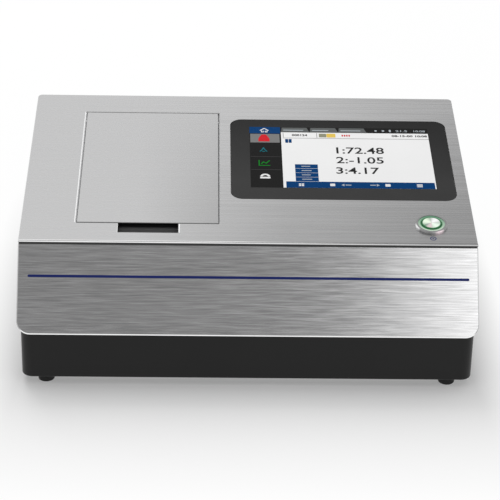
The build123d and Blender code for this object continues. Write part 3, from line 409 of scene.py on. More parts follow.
def face_tone(shader, brush, around, across, up, rims, painted_corner_shade):
    """Tone of the sheet's face: its streaks, a painted shade towards the front right corner, and painted
    highlights and dim reflections along the rims.
    """
    gain = shader.span(across, WEAK, STRONG, brush.grow - GROW_BEFORE, brush.grow + GROW_PAST)
    spread = shader.math("ADD", shader.product(around, gain), 0.5)
    # painted shade: the sheet turns darker towards its front right corner
    corner = shader.product(shader.rise(across, *CORNER_SHADE_ACROSS), shader.fall(up, *CORNER_SHADE_UP))
    tone = shader.blend(spread, steel_tone(brush.tone * (1 - brush.contrast)),
                        steel_tone(brush.tone * (1 + brush.contrast)))
    tone = shader.blend(shader.product(corner, painted_corner_shade), tone, BLACK)
    # painted highlights and painted dim reflections along the rims
    for rim in rims:
        inside = shader.product(shader.within(across, rim.x0, rim.x1, rim.soft),
                                shader.within(up, rim.y0, rim.y1))
        tone = shader.blend(inside, tone, steel_tone(rim.tone))
    return tone


def edge_tone(shader, axes, across, cut_edge, edges, seam_shade_depth):
    """Tone of the bevels and cut edges: plain, with painted highlights and shade by the direction each faces, and
    a painted shade on the front one in a seam.
    """
    tone = steel_tone(cut_edge)
    for edge in edges:
        own = shader.blend(shader.rise(across, *EDGE_TURN), steel_tone(edge.left), steel_tone(edge.right))
        faces = shader.rise(shader.facing(edge.direction), edge.square - EDGE_SOFT, edge.square + EDGE_SOFT)
        tone = shader.blend(faces, tone, own)
    # painted shade: the front face painted dark below the seam's depth
    if seam_shade_depth is not None:
        height = shader.along(out_of(axes), axes.translation)
        under = shader.fall(height, -seam_shade_depth - SEAM_SOFT, -seam_shade_depth + SEAM_SOFT)
        front = shader.rise(shader.facing(-up_of(axes)), *FRONT_FACE)
        tone = shader.blend(shader.product(under, front), tone, steel_tone(SEAM_SHADE_TONE))
    return tone


def brushed_steel(name, axes, brush, cut_edge, edges=(), rims=(), painted_corner_shade=0.0, seam_shade_depth=None):
    """Steel sheet brushed from side to side: streaks in tone, gloss and relief, and plainer cut edges.

    cut_edge: plain tone of the bevels and cut edges, where edges paints no highlight or shade of its own on them.
    painted_corner_shade: how much darker the sheet is painted towards its front right corner, a painted shade.
    seam_shade_depth: how far below its face, in mm, its front edge is painted dark, a painted shade of the seam.
    """
    shader = Shader(name)
    streaks = streak_pattern(shader, brush)
    around = shader.math("SUBTRACT", streaks, 0.5)
    across = shader.along(ACROSS)
    up = shader.along(up_of(axes), axes.translation)
    face = face_tone(shader, brush, around, across, up, rims, painted_corner_shade)
    # painted highlights and shade of the bevels and cut edges
    polished = edge_tone(shader, axes, across, cut_edge, edges, seam_shade_depth)
    edge = shader.fall(shader.facing(out_of(axes)), *SHEET_FACE)
    gloss = shader.span(streaks, brush.roughness - brush.swing, brush.roughness + brush.swing, *STREAK_RANGE)
    tilt = shader.combine(X=shader.product(around, brush.lean))
    leaning = shader.vector("ADD", shader.bump(streaks, brush.relief), tilt)
    shader.give({
        "Base Color": shader.blend(edge, face, polished),
        "Roughness": shader.math("SUBTRACT", gloss, shader.product(edge, EDGE_GLOSS)),
        "Normal": shader.vector("NORMALIZE", leaning),
        "Metallic": 1.0,
        "Anisotropic": ANISOTROPY,
        "Tangent": shader.combine(Y=1.0, Z=1.0),
    })
    return shader.material


DOWN_DECK = -up_of(DECK)
DOWN_FASCIA = -up_of(FASCIA)
# Painted highlights and shade on bevels and cut edges, by the direction each faces: the top plate's side-facing
# bevels and front edges bright at the left and dimmer at the right, the lid's front edge painted dark as the shade
# of its gap, the fascia's lower bevel bright.
TOP_EDGE_LIGHTS = (
    PaintedEdge(ACROSS, 0.5, PAINTED_HIGHLIGHT, PAINTED_HIGHLIGHT),
    PaintedEdge(-ACROSS, 0.5, 0.8, 0.8),
    PaintedEdge(DOWN_DECK, 0.5, PAINTED_HIGHLIGHT, 0.2),
    PaintedEdge(DOWN_DECK, 0.9, PAINTED_HIGHLIGHT, 0.60),
)
LID_EDGE_SHADE = (PaintedEdge(DOWN_DECK, 0.9, 0.04, 0.04),)
FASCIA_EDGE_HIGHLIGHT = (PaintedEdge(DOWN_FASCIA, 0.5, PAINTED_HIGHLIGHT, PAINTED_HIGHLIGHT),)


def deck_painted_rims():
    """Painted highlights on the rims beside the lid's opening and beside the finger notch, and along the front a
    painted highlight that dims to a painted dim reflection.
    """
    low, high = (Vector(corner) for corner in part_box("lid_plate"))
    opening = low.x / MM - LID_SIDE_GAP - OPENING_BEVEL
    back = (DECK.inverted() @ high).y / MM
    notch_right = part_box("finger_recess")[1][0] / MM - NOTCH_WALL
    left, right = (opening + across for across in OPENING_RIM)
    return (PaintedRim(left, right, LID_FRONT, back, RIM_SOFT, PAINTED_HIGHLIGHT),
            PaintedRim(notch_right, notch_right + NOTCH_RIM, NOTCH_FRONT, LID_FRONT, RIM_SOFT, PAINTED_HIGHLIGHT),
            PaintedRim(-FRONT_RIM_END, FRONT_RIM_TURN, *FRONT_RIM, FRONT_RIM_SOFT, PAINTED_HIGHLIGHT),
            PaintedRim(FRONT_RIM_TURN, FRONT_RIM_END, *DIM_RIM, FRONT_RIM_SOFT, PAINTED_DIM_REFLECTION))


# ---- Plastics, metals and glass ----
def moulded_plastic(name, tone, roughness, grain, relief, specular=0.35):
    """Moulded or painted surface with a slow change of tone and a fine grain; grain and relief in mm."""
    shader = Shader(name)
    slow = shader.noise(9.0)
    fine = shader.noise(METRE / grain, 2.0, 0.6)
    low = tuple(0.88 * part for part in tone)
    high = tuple(min(1.0, 1.12 * part) for part in tone)
    slow_gloss = shader.span(slow, roughness - 0.03, roughness + 0.03)
    shader.give({
        "Base Color": shader.mottle(slow, low, high),
        "Roughness": shader.math("ADD", slow_gloss, shader.span(fine, -0.04, 0.04)),
        "Normal": shader.bump(fine, relief),
        "Specular IOR Level": specular,
    })
    return shader.material


def plain_metal(name, tone, roughness, grain=0.8, relief=0.004):
    """Zinc, aluminium or polished steel: a faint mottle in tone and gloss; grain and relief in mm."""
    shader = Shader(name)
    mottle = shader.noise(METRE / grain, 3.0, 0.6)
    shader.give({
        "Base Color": shader.mottle(mottle, (tone * 0.93,) * 3, (min(1.0, tone * 1.05),) * 3),
        "Roughness": shader.span(mottle, roughness - 0.04, roughness + 0.05),
        "Normal": shader.bump(mottle, relief),
        "Metallic": 1.0,
    })
    return shader.material


GLASS_REFLECTION_FADE = (90.0, 195.0)     # up the deck, where the touch panel's painted reflection fades and it turns darker


def screen_glass():
    """Touch panel: near-black glass with a clear gloss, a trace of smudging, and a painted reflection that darkens
    up the deck.
    """
    shader = Shader("panel_glass")
    smudge = shader.noise(30.0, 4.0, 0.6)
    painted_reflection_fade = shader.rise(shader.along(up_of(DECK), DECK.translation), *GLASS_REFLECTION_FADE)
    # painted reflection: lighter at the front, darker up the deck
    dark = shader.blend(painted_reflection_fade, grey(51), grey(22))
    light = shader.blend(painted_reflection_fade, grey(54), grey(26))
    shader.give({
        "Base Color": shader.mottle(smudge, dark, light),
        "Roughness": shader.span(smudge, 0.16, 0.26),
        "Specular IOR Level": 0.1,
    })
    return shader.material


RECESS_TURN = 0.8                 # half the height over which the recess's floor turns into its wall


def recess_material():
    """Dark plastic of the finger recess, with painted light and shade: its floor painted lighter as if lit, its
    walls painted nearly black as if in the lid's shadow.
    """
    shader = Shader("recess_plastic")
    grain = shader.noise(1200.0, 2.0)
    height = shader.along(out_of(DECK), DECK.translation)
    # painted shade: dark above the floor's depth, painted light on the floor below it
    wall = shader.rise(height, -RECESS_DEEP - RECESS_TURN, -RECESS_DEEP + RECESS_TURN)
    shader.give({
        "Base Color": shader.blend(wall, grey(112), grey(30)),
        "Roughness": shader.span(grain, 0.45, 0.6),
        "Specular IOR Level": 0.15,
    })
    return shader.material


def clear_glass():
    shader = Shader("optical_glass")
    faint = shader.noise(60.0, 2.0)
    shader.give({
        "Base Color": (0.93, 0.97, 0.98),
        "Roughness": shader.span(faint, 0.02, 0.05),
        "Transmission Weight": 1.0,
        "IOR": 1.5,
    })
    return shader.material


def plain_ink(name, tone, glow=0.0):
    """One colour of the print or of the screen's picture, slightly uneven; on the screen it glows."""
    shader = Shader(name)
    uneven = shader.noise(14.0, 2.0)
    lit = tuple((1 - glow) * part for part in tone)
    worn = tuple(0.96 * part for part in lit)
    shader.give({
        "Base Color": shader.mottle(uneven, worn, lit),
        "Emission Color": tone,
        "Emission Strength": glow,
        "Roughness": shader.span(uneven, 0.24, 0.32),
        "Specular IOR Level": 0.02,
    })
    return shader.material


# ---- Push button ----
class Glint(NamedTuple):
    """A painted highlight: a bright sector of a round piece."""
    bearing: float            # degrees from the right, about the button's axis
    width: float              # cosine of the angle from its bearing at which it has faded out
    tone: tuple


# Painted highlights on the cap: bright sectors about its middle
CAP_GLINTS = (
    Glint(152, 0.50, colour(240, 255, 232)),
    Glint(48, 0.60, colour(255, 255, 255)),
    Glint(-48, 0.45, colour(240, 255, 240)),
    Glint(-112, 0.86, colour(226, 206, 208)),
)
# Painted highlights on the bezel's bevel
BEZEL_GLINTS = (
    Glint(200, 0.93, steel_tone(PAINTED_HIGHLIGHT)),
    Glint(-62, 0.93, colour(255, 236, 242)),
)
HUB = 0.4                 # all radii in mm: within this one the sectors fade into each other
CAP_PAINTED_GREEN = (2.0, 6.8)   # where the cap turns from grey to a painted reflection of the ring's green
CAP_RIM = (6.9, 7.3)
RING_PALES = (8.7, 9.5)   # where the ring turns from deep green to pale
RING_SLOPE = 9.0          # up and down the deck from its middle, where the painted shade leaves its pale green darkest and palest
BEZEL_BEVEL = (12.2, 12.6)
RINGS_PER_MM = 3.0        # turning marks of the cap


def button_place(shader):
    """Coordinates about the push button's axis: to the right, up the slope, and the distance, in mm."""
    right = shader.along(ACROSS, BUTTON_MIDDLE)
    up = shader.along(up_of(DECK), BUTTON_MIDDLE)
    squares = shader.math("ADD", shader.product(right, right), shader.product(up, up))
    return right, up, shader.math("SQRT", squares)


def add_glints(shader, tone, button, glints):
    """Lays painted highlights, bright sectors, over a tone, each strongest on its own bearing."""
    right, up, away = button
    for glint in glints:
        turn = radians(glint.bearing)
        toward = shader.math("ADD", shader.product(right, cos(turn)), shader.product(up, sin(turn)))
        squarely = shader.math("DIVIDE", toward, shader.math("MAXIMUM", away, HUB))
        tone = shader.blend(shader.rise(squarely, glint.width, 1.0), tone, glint.tone)
    return tone


def light_ring_material():
    """Translucent green ring: deep green next to the cap, pale where the lamp behind shines through, that pale
    green with a painted shade, darker up the deck.
    """
    shader = Shader("ring_green")
    _, up, away = button_place(shader)
    cloud = shader.noise(400.0, 2.0)
    # painted shade: the pale green darker up the deck
    upper = shader.rise(up, -RING_SLOPE, RING_SLOPE)
    pale = shader.blend(upper, colour(200, 222, 200), colour(104, 150, 122))
    deep = shader.mottle(cloud, colour(52, 116, 72), colour(60, 126, 82))
    tone = shader.blend(shader.rise(away, *RING_PALES), deep, pale)
    shader.give({
        "Base Color": tone,
        "Emission Color": tone,
        "Emission Strength": 0.1,
        "Roughness": shader.span(cloud, 0.3, 0.4),
        "Specular IOR Level": 0.2,
    })
    return shader.material


def button_cap_material():
    """Steel cap turned on a lathe, with painted light from the ring round it: a painted glow, a painted green
    reflection towards its edge, and painted bright and dim sectors about its middle.
    """
    shader = Shader("turned_steel")
    button = button_place(shader)
    away = button[-1]
    texture = shader.node("ShaderNodeTexNoise", noise_dimensions="1D")
    shader.fill(texture, {"Scale": RINGS_PER_MM, "W": away})
    rings = texture.outputs["Fac"]
    dim = shader.blend(shader.rise(away, *CAP_PAINTED_GREEN), grey(186), colour(104, 146, 116))
    lit = add_glints(shader, dim, button, CAP_GLINTS)
    grooved = shader.blend(shader.span(rings, 0.0, 0.06), lit, grey(90))
    tone = shader.blend(shader.rise(away, *CAP_RIM), grooved, colour(60, 124, 80))
    shader.give({
        "Base Color": tone,
        # painted glow: the steel cap gives off a little light of its own
        "Emission Color": tone,
        "Emission Strength": 0.16,
        "Roughness": shader.span(rings, 0.22, 0.34),
        "Metallic": 0.1,
    })
    return shader.material


def bezel_material():
    """Flat steel ring, with painted highlights of the studio's lights on its bevel at the left and at the lower
    right.
    """
    shader = Shader("bezel_steel")
    button = button_place(shader)
    away = button[-1]
    mottle = shader.noise(3000.0, 2.0)
    flat = shader.mottle(mottle, steel_tone(0.29), steel_tone(0.32))
    bevel = add_glints(shader, flat, button, BEZEL_GLINTS)
    shader.give({
        "Base Color": shader.blend(shader.rise(away, *BEZEL_BEVEL), flat, bevel),
        "Roughness": shader.span(mottle, 0.24, 0.32),
        "Metallic": 0.35,
    })
    return shader.material


# ---- Finishes of the CAD nodes ----
def make_materials():
    """Materials by the record's slots, and by node where one has a finish of its own."""
    black = moulded_plastic("casing_grain", grey(27), roughness=0.40, grain=0.5, relief=0.01, specular=0.2)
    pitch = moulded_plastic("chamber_matte", grey(20), roughness=0.7, grain=0.8, relief=0.01, specular=0.2)
    rubber = moulded_plastic("rubber_grain", grey(30), roughness=0.75, grain=0.9, relief=0.02, specular=0.25)
    zinc = plain_metal("zinc", tone=0.62, roughness=0.35)
    aluminium = plain_metal("satin_aluminium", tone=0.8, roughness=0.32)
    anodised = plain_metal("black_anodised", tone=0.06, roughness=0.4)
    board = moulded_plastic("board_mask", colour(20, 92, 52), roughness=0.35, grain=3.0, relief=0.01,
                            specular=0.5)
    powder = moulded_plastic("powder_coat", grey(38), roughness=0.55, grain=0.4, relief=0.02)
    gloss = moulded_plastic("gloss_black", grey(28), roughness=0.22, grain=2.0, relief=0.002, specular=0.5)
    shell = moulded_plastic("white_shell", grey(222), roughness=0.4, grain=2.0, relief=0.004, specular=0.5)
    return {
        "steel_skin": brushed_steel("casing_steel", DECK, DECK_BRUSH, cut_edge=0.4),
        "casing_black": black,
        "rear_black": powder,
        "chamber_black": pitch,
        "recess_grey": recess_material(),
        "foot_rubber": rubber,
        "seal_rubber": rubber,
        "fittings_steel": zinc,
        "bright_steel": plain_metal("polished_steel", tone=0.85, roughness=0.14, grain=2.0, relief=0.001),
        "anodised_black": anodised,
        "plain_aluminium": aluminium,
        "optical_glass": clear_glass(),
        "screen_glass": screen_glass(),
        "screen_panel": gloss,
        "board_green": board,
        "insulator_black": black,
        "switch_black": gloss,
        "light_ring_green": light_ring_material(),
        "white_shell": shell,
        # the top plate and the lid carry painted highlights, painted dim reflections and painted shade
        "top_plate": brushed_steel("deck_steel", DECK, DECK_BRUSH, cut_edge=0.6, edges=TOP_EDGE_LIGHTS,
                                   rims=deck_painted_rims(), painted_corner_shade=0.26, seam_shade_depth=SEAM_SHADE),
        "lid_plate": brushed_steel("lid_steel", DECK, LID_BRUSH, cut_edge=0.5, edges=LID_EDGE_SHADE, painted_corner_shade=0.45),
        "front_fascia": brushed_steel("fascia_steel", FASCIA, FASCIA_BRUSH, cut_edge=0.5,
                                      edges=FASCIA_EDGE_HIGHLIGHT),
        "button_cap": button_cap_material(),
        "button_bezel": bezel_material(),
    }


def dress_nodes(materials):
    """Gives every CAD node the finish of its slot, or its own where one is named for it."""
    slots = {entry["node"]: entry["material_slot"] for entry in frame["record"]["subparts"]}
    for name, node in frame["nodes"].items():
        for place in node.material_slots:
            place.material = materials.get(name) or materials[slots[name]]


# ---- Flat shapes, in millimetres ----
CORNER_STEPS = 6
DISC_STEPS = 20
ARC_STEPS = 12
DIGIT_STEPS = 3
THIN = 0.012              # weights of the digits
BOLD = 0.03


def new_piece(name, mesh, material, body, matrix):
    """One object laid on a surface by its matrix."""
    piece = bpy.data.objects.new(name, mesh)
    bpy.context.scene.collection.objects.link(piece)
    mesh.materials.append(material)
    mesh.transform(matrix)
    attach(piece, body)
    return piece


def arc_points(x, y, radius, start, end, steps):
    """Points along an arc, its angles in degrees."""
    angles = [radians(start + (end - start) * i / steps) for i in range(steps + 1)]
    return [(x + radius * cos(angle), y + radius * sin(angle)) for angle in angles]


def rounded_outline(x0, x1, y0, y1, radius):
    """Points round a rectangle with rounded corners."""
    middles = ((x1 - radius, y1 - radius), (x0 + radius, y1 - radius),
               (x0 + radius, y0 + radius), (x1 - radius, y0 + radius))
    points = []
    for quarter, (x, y) in enumerate(middles):
        points += arc_points(x, y, radius, 90 * quarter, 90 * (quarter + 1), CORNER_STEPS)
    return points


def mirrored(points):
    """The points mirrored at x = 0 and in reverse, so that they carry on an outline."""
    return [(-x, y) for x, y in reversed(points)]


def shifted(points, across):
    return [(across + x, y) for x, y in points]


class Picture:
    """Flat shapes of one colour, raised a little: each outline becomes a thin solid."""

    def __init__(self, low, thickness=LAYER):
        self.work = bmesh.new()
        self.low = low * MM
        self.high = self.low + thickness * MM

    def outline(self, points):
        lower = [self.work.verts.new((x * MM, y * MM, self.low)) for x, y in points]
        upper = [self.work.verts.new((x * MM, y * MM, self.high)) for x, y in points]
        self.work.faces.new(upper)
        self.work.faces.new(lower[::-1])
        for i in range(len(points)):
            j = (i + 1) % len(points)
            self.work.faces.new((lower[i], lower[j], upper[j], upper[i]))

    def rect(self, x0, x1, y0, y1, radius=0.0):
        if radius:
            self.outline(rounded_outline(x0, x1, y0, y1, radius))
        else:
            self.outline([(x1, y1), (x0, y1), (x0, y0), (x1, y0)])

    def disc(self, x, y, radius):
        self.outline(arc_points(x, y, radius, 0, 360, DISC_STEPS)[:-1])

    def arc(self, x, y, radius, width, start, end):
        """Part of a ring, of a width inwards from the radius; its angles are in degrees."""
        outer = arc_points(x, y, radius, start, end, ARC_STEPS)
        inner = arc_points(x, y, radius - width, end, start, ARC_STEPS)
        self.outline(outer + inner)

    def line(self, points, width):
        """A broken line of even width: its runs meet in mitred corners."""
        points = [Vector(point) for point in points]
        runs = [(b - a).normalized() for a, b in zip(points, points[1:])]
        left, right = [], []
        for i, point in enumerate(points):
            before = runs[max(i - 1, 0)]
            after = runs[min(i, len(runs) - 1)]
            middle = (before + after).normalized()
            side = Vector((-middle.y, middle.x)) * (width / 2 / middle.dot(after))
            left.append(tuple(point + side))
            right.append(tuple(point - side))
        for i in range(len(runs)):
            self.outline([left[i], right[i], right[i + 1], left[i + 1]])

    def digits(self, text, x, y, height, width, weight=THIN):
        """Plain digits in the built-in font, fitted to a box; x, y is the lower left corner."""
        curve = bpy.data.curves.new("digits", "FONT")
        curve.body = text
        curve.resolution_u = DIGIT_STEPS
        curve.extrude = 0.5
        curve.offset = weight
        holder = bpy.data.objects.new("digits", curve)
        mesh = bpy.data.meshes.new_from_object(holder)
        xs = [v.co.x for v in mesh.vertices]
        ys = [v.co.y for v in mesh.vertices]
        left, foot = min(xs), min(ys)
        scale_x = width * MM / (max(xs) - left)
        scale_y = height * MM / (max(ys) - foot)
        for v in mesh.vertices:
            level = self.high if v.co.z > 0 else self.low
            v.co = ((v.co.x - left) * scale_x + x * MM, (v.co.y - foot) * scale_y + y * MM, level)
        self.work.from_mesh(mesh)
        bpy.data.objects.remove(holder)
        bpy.data.curves.remove(curve)
        bpy.data.meshes.remove(mesh)

    def piece(self, name, material, matrix):
        """Ends the picture and lays it on the instrument."""
        mesh = bpy.data.meshes.new(name)
        bmesh.ops.recalc_face_normals(self.work, faces=self.work.faces)
        self.work.to_mesh(mesh)
        self.work.free()
        return new_piece(name, mesh, material, "instrument", matrix)


# ---- Print and trim on the steel ----
def make_stripe():
    """Printed line along the fascia."""
    work = Picture(0, PRINT_THICKNESS)
    height = STRIPE_HIGH - STRIPE_LOW
    work.rect(STRIPE_LEFT, STRIPE_RIGHT, STRIPE_LOW, STRIPE_HIGH, height * STRIPE_ROUNDING)
    piece = work.piece("blue_stripe", plain_ink("stripe_blue", colour(38, 48, 108)), FASCIA)


def make_mark():
    """Plain pictogram below the push button: a ring round a dot."""
    button = DECK.inverted() @ BUTTON_MIDDLE / MM
    middle = button.y - MARK_BELOW
    work = Picture(0, PRINT_THICKNESS)
    for start in (0, 180):
        work.arc(button.x, middle, MARK_RADIUS, MARK_STROKE, start, start + 180)
    work.disc(button.x, middle, MARK_STROKE)
    piece = work.piece("measure_mark", plain_ink("mark_blue", colour(38, 52, 108)), DECK)


def make_seam_strip():
    """Rubber strip in the gap between the fascia and the top plate, just behind the sheet's face, and a painted
    shade: its dark grey gives the seam its shaded line.
    """
    high = Vector(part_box("front_fascia")[1])
    end = (high.z - FASCIA.translation.z) / (cos(radians(FASCIA_LEAN)) * MM)
    half = high.x / MM - STRIP_INSET
    work = Picture(-SHEET, SHEET - STRIP_DEPTH)
    work.rect(-half, half, end + SEAM_GAP, end + STRIP_WIDTH)
    # painted shade: the strip's grey gives the seam its dark line
    rubber = moulded_plastic("seam_shade_rubber", grey(84), roughness=0.8, grain=0.9, relief=0.02, specular=0.1)
    piece = work.piece("seam_strip", rubber, FASCIA)


# ---- Picture on the screen; x from its left side, y from its lower side, in millimetres ----
GROUND, PAGE, BLOCKS, INK, MARKS = (level * LAYER for level in range(1, 6))   # its layers, from below
SCREEN_GLOW = 0.15

SIDEBAR = 27.4            # width of the column of icons
CELL_RIGHT = SIDEBAR - 1.4
HEADER_LOW = 84.3         # of the home cell
SECOND_LOW = 69.6         # of the grey cell below it
CELL_RULES = (46.8, 26.6)
CELL_RULE = 0.7
STATUS_LOW = 86.5         # of the status row
TOOLS_LOW = 77.8          # of the tool row below it
TOOL_RULE_LOW = TOOLS_LOW - 0.9
TOOL_RULE_HIGH = TOOLS_LOW - 0.2
FIELD_RULES = (SIDEBAR + 1.6, 58.2)
FIELD_RULE = 0.6
BAR_LEFT = 29.8           # of the bar along the bottom
BAR_RIGHT = 154.8
BAR_HIGH = 9.4

TABS = 3
TAB_PITCH = 25.0
TAB_HIGH = SCREEN_HEIGHT - 0.7
TAB_LOW = STATUS_LOW + 0.2
TAB_LEFT = SIDEBAR + 0.2
TAB_GAP = 0.2
TAB_SLANTS = (0.8, 2.6)   # of its left and right side
TAB_LINE_LEFT = SIDEBAR + 2.2
TAB_LINE = 17.4
TAB_LINE_SHORTER = 3.0    # that of every other tab
TAB_LINE_LOW = 89.4
TAB_LINE_HIGH = 90.5

MENU_CELLS = 4
MENU_LEFT = 38.0
MENU_RIGHT = 57.4
MENU_PITCH = 6.6
MENU_GAP = 0.35
MENU_LINE_LEFT = 43.4
MENU_LINE_RIGHT = 51.8
MENU_LINE_SHORTER = 0.9   # that of every other cell
MENU_LINE_UP = 2.9
MENU_LINE = 1.1

PAUSE_LEFTS = (30.8, 33.8)
PAUSE_WIDTH = 2.6
PAUSE_LOW = 69.6
PAUSE_HIGH = 75.6
PAUSE_ROUNDING = 0.4

# Blocks and icons: a block is left, right, low and high, then the rounding of its corners if it has one
ICON_X = 12.4             # middle of the sidebar's icons
HOME_X = 12.9
ICON_STROKE = 1.0
WALL_STROKE = 0.8
CHART_STROKE = 1.1
HOME_ROOF = ((-3.7, 89.0), (0, 92.4), (3.7, 89.0))                      # about HOME_X
HOME_WALL = ((-2.4, 88.9), (-2.4, 86.4), (-0.9, 86.4), (-0.9, 88.5))   # the left one, about HOME_X
BEAKER_SIDE = ((4.9, 71.4), (4.9, 75.2), (3.6, 79.0), (1.8, 82.4))      # the right one, about ICON_X
PEAK = ((8.6, 55.2), (10.2, 57.4), (11.7, 61.0), (13.2, 57.4), (14.8, 55.2))
PEAK_FOOT = (10.6, 12.8, 54.8, 55.9)
CHART_AXES = ((7.6, 41.6), (7.6, 33.4), (17.0, 33.4))
CHART_LINE = ((9.4, 35.6), (11.2, 38.8), (13.6, 36.8), (16.6, 41.2))
DOME_LOW = 16.4
DOME_RADIUS = 4.2
DOME_STROKE = 2.1
DOME_FOOT = (ICON_X - 4.4, ICON_X + 4.4, 13.4, 15.9, 0.9)

GRID_LEFTS = (40.4, 42.8)         # icons in the bar along the bottom
GRID_LOWS = (2.4, 4.6)
GRID_CELL = (1.9, 1.7)
SQUARE_ICONS = ((66.6, 70.8, 2.8, 6.6, 0.6), (113.0, 117.4, 2.9, 6.7, 0.6))
LIST_LEFT = 139.6
LIST_RIGHT = 144.4
LIST_LOWS = (2.6, 4.2, 5.8)
LIST_LINE = 1.0
LEFT_HEAD = ((78.6, 6.4), (78.6, 2.8), (76.0, 4.6))
LEFT_SHAFT = (79.6, 84.4, 4.0, 5.2)
RIGHT_HEAD = ((105.8, 3.0), (105.8, 6.6), (108.4, 4.8))
RIGHT_SHAFT = (100.2, 105.0, 4.2, 5.4)

STATUS_DOTS = ((110.4, 90.3, 1.1), (116.8, 90.3, 1.2))
STATUS_BLOCK = (122.0, 123.7, 88.6, 92.2, 0.4)
YELLOW_BLOCK = (67.0, 74.8, 78.8, 84.9, 0.5)
OLIVE_BLOCK = (60.4, 66.8, 79.0, 84.7, 0.5)
RED_MARKS = 4
RED_PITCH = 2.0
RED_MARK = (80.2, 81.4, 80.6, 83.4, 0.3)

# Text, left, low, height and width
READINGS = (
    ("1:72.48", 74.4, 53.2, 10.0, 41.0),
    ("2:-1.05", 73.6, 38.0, 10.0, 40.6),
    ("3:4.17", 72.8, 21.8, 10.0, 36.6),
)
TOOL_DIGITS = (("000124", 36.8, 80.5, 3.2, 13.4), ("08-15-00 10:08", 123.8, 80.8, 3.0, 31.0))
STATUS_DIGITS = (("21.5", 127.8, 88.9, 2.9, 10.2), ("10:08", 143.6, 88.9, 2.9, 10.0))


def show(picture, name, ink, tone):
    """Lays a finished picture on the screen."""
    picture.piece(name, plain_ink(ink, tone, SCREEN_GLOW), SCREEN)


def screen_ground():
    ground = Picture(GROUND)
    ground.rect(0, SCREEN_WIDTH, 0, SCREEN_HEIGHT)
    show(ground, "screen_ground", "screen_black", grey(33))


def screen_page():
    page = Picture(PAGE)
    page.rect(SIDEBAR, SCREEN_WIDTH, 0, STATUS_LOW)
    show(page, "screen_page", "screen_page", grey(247))


def screen_blue():
    """Home cell, bar along the bottom, menu, and two small upright blocks."""
    blue = Picture(BLOCKS)
    blue.rect(0, SIDEBAR - 0.6, HEADER_LOW, SCREEN_HEIGHT)
    blue.rect(BAR_LEFT, BAR_RIGHT, 0, BAR_HIGH)
    for i in range(MENU_CELLS):
        low = BAR_HIGH + MENU_GAP + i * MENU_PITCH
        blue.rect(MENU_LEFT, MENU_RIGHT, low, low + MENU_PITCH - MENU_GAP)
    for left in PAUSE_LEFTS:
        blue.rect(left, left + PAUSE_WIDTH, PAUSE_LOW, PAUSE_HIGH, PAUSE_ROUNDING)
    show(blue, "screen_blue", "screen_blue", colour(4, 62, 116))


def screen_grey():
    """Grey cell of the sidebar, and the tabs in the status row."""
    cell = Picture(BLOCKS)
    cell.rect(0.6, CELL_RIGHT, SECOND_LOW, HEADER_LOW - 0.8)
    show(cell, "side_cell", "side_cell", grey(128))
    tabs = Picture(BLOCKS)
    slant_left, slant_right = TAB_SLANTS
    for i in range(TABS):
        left = TAB_LEFT + i * TAB_PITCH
        right = left + TAB_PITCH
        tabs.outline([(right - slant_right, TAB_HIGH), (left + slant_left, TAB_HIGH),
                      (left, TAB_LOW), (right - TAB_GAP, TAB_LOW)])
    show(tabs, "screen_tabs", "screen_tab", colour(100, 103, 103))


def screen_rules():
    """Thin grey rules round the input field and under the tool row, and those between the sidebar's cells."""
    rules = Picture(INK)
    rules.rect(SIDEBAR + 1.4, SCREEN_WIDTH, TOOL_RULE_LOW, TOOL_RULE_HIGH)
    for x in FIELD_RULES:
        rules.rect(x, x + FIELD_RULE, TOOLS_LOW + 0.4, STATUS_LOW - 1.0)
    show(rules, "screen_rules", "screen_rule", grey(168))
    cells = Picture(INK)
    for y in CELL_RULES:
        cells.rect(0.8, CELL_RIGHT, y, y + CELL_RULE)
    show(cells, "cell_rules", "cell_rule", grey(66))


def screen_marks():
    """White icons: the house and the dome in the sidebar, and the grid, squares and list in the bar."""
    marks = Picture(MARKS)
    marks.line(shifted(HOME_ROOF, HOME_X), ICON_STROKE)
    for wall in (HOME_WALL, mirrored(HOME_WALL)):
        marks.line(shifted(wall, HOME_X), WALL_STROKE)
    width, height = GRID_CELL
    for y in GRID_LOWS:
        for x in GRID_LEFTS:
            marks.rect(x, x + width, y, y + height)
    for icon in SQUARE_ICONS:
        marks.rect(*icon)
    for y in LIST_LOWS:
        marks.rect(LIST_LEFT, LIST_RIGHT, y, y + LIST_LINE)
    marks.arc(ICON_X, DOME_LOW, DOME_RADIUS, DOME_STROKE, 0, 180)
    marks.rect(*DOME_FOOT)
    show(marks, "screen_marks", "screen_white", grey(238))


def screen_small_marks():
    """Paler marks: dots and digits in the status row, lines on the tabs and menu, arrows in the bar."""
    marks = Picture(MARKS)
    for dot in STATUS_DOTS:
        marks.disc(*dot)
    marks.rect(*STATUS_BLOCK)
    for digits in STATUS_DIGITS:
        marks.digits(*digits)
    for i in range(TABS):
        left = TAB_LINE_LEFT + i * TAB_PITCH
        marks.rect(left, left + TAB_LINE - TAB_LINE_SHORTER * (i % 2), TAB_LINE_LOW, TAB_LINE_HIGH)
    for i in range(MENU_CELLS):
        low = BAR_HIGH + MENU_LINE_UP + i * MENU_PITCH
        marks.rect(MENU_LINE_LEFT, MENU_LINE_RIGHT - MENU_LINE_SHORTER * (i % 2), low, low + MENU_LINE)
    marks.outline(LEFT_HEAD)
    marks.rect(*LEFT_SHAFT)
    marks.rect(*RIGHT_SHAFT)
    marks.outline(RIGHT_HEAD)
    show(marks, "screen_small_marks", "screen_pale", colour(180, 188, 194))


def screen_figures():
    """The three large readings, and the dark digits in the tool row."""
    figures = Picture(INK)
    for digits in READINGS:
        figures.digits(*digits)
    for digits in TOOL_DIGITS:
        figures.digits(*digits, BOLD)
    show(figures, "screen_figures", "screen_ink_dark", grey(44))


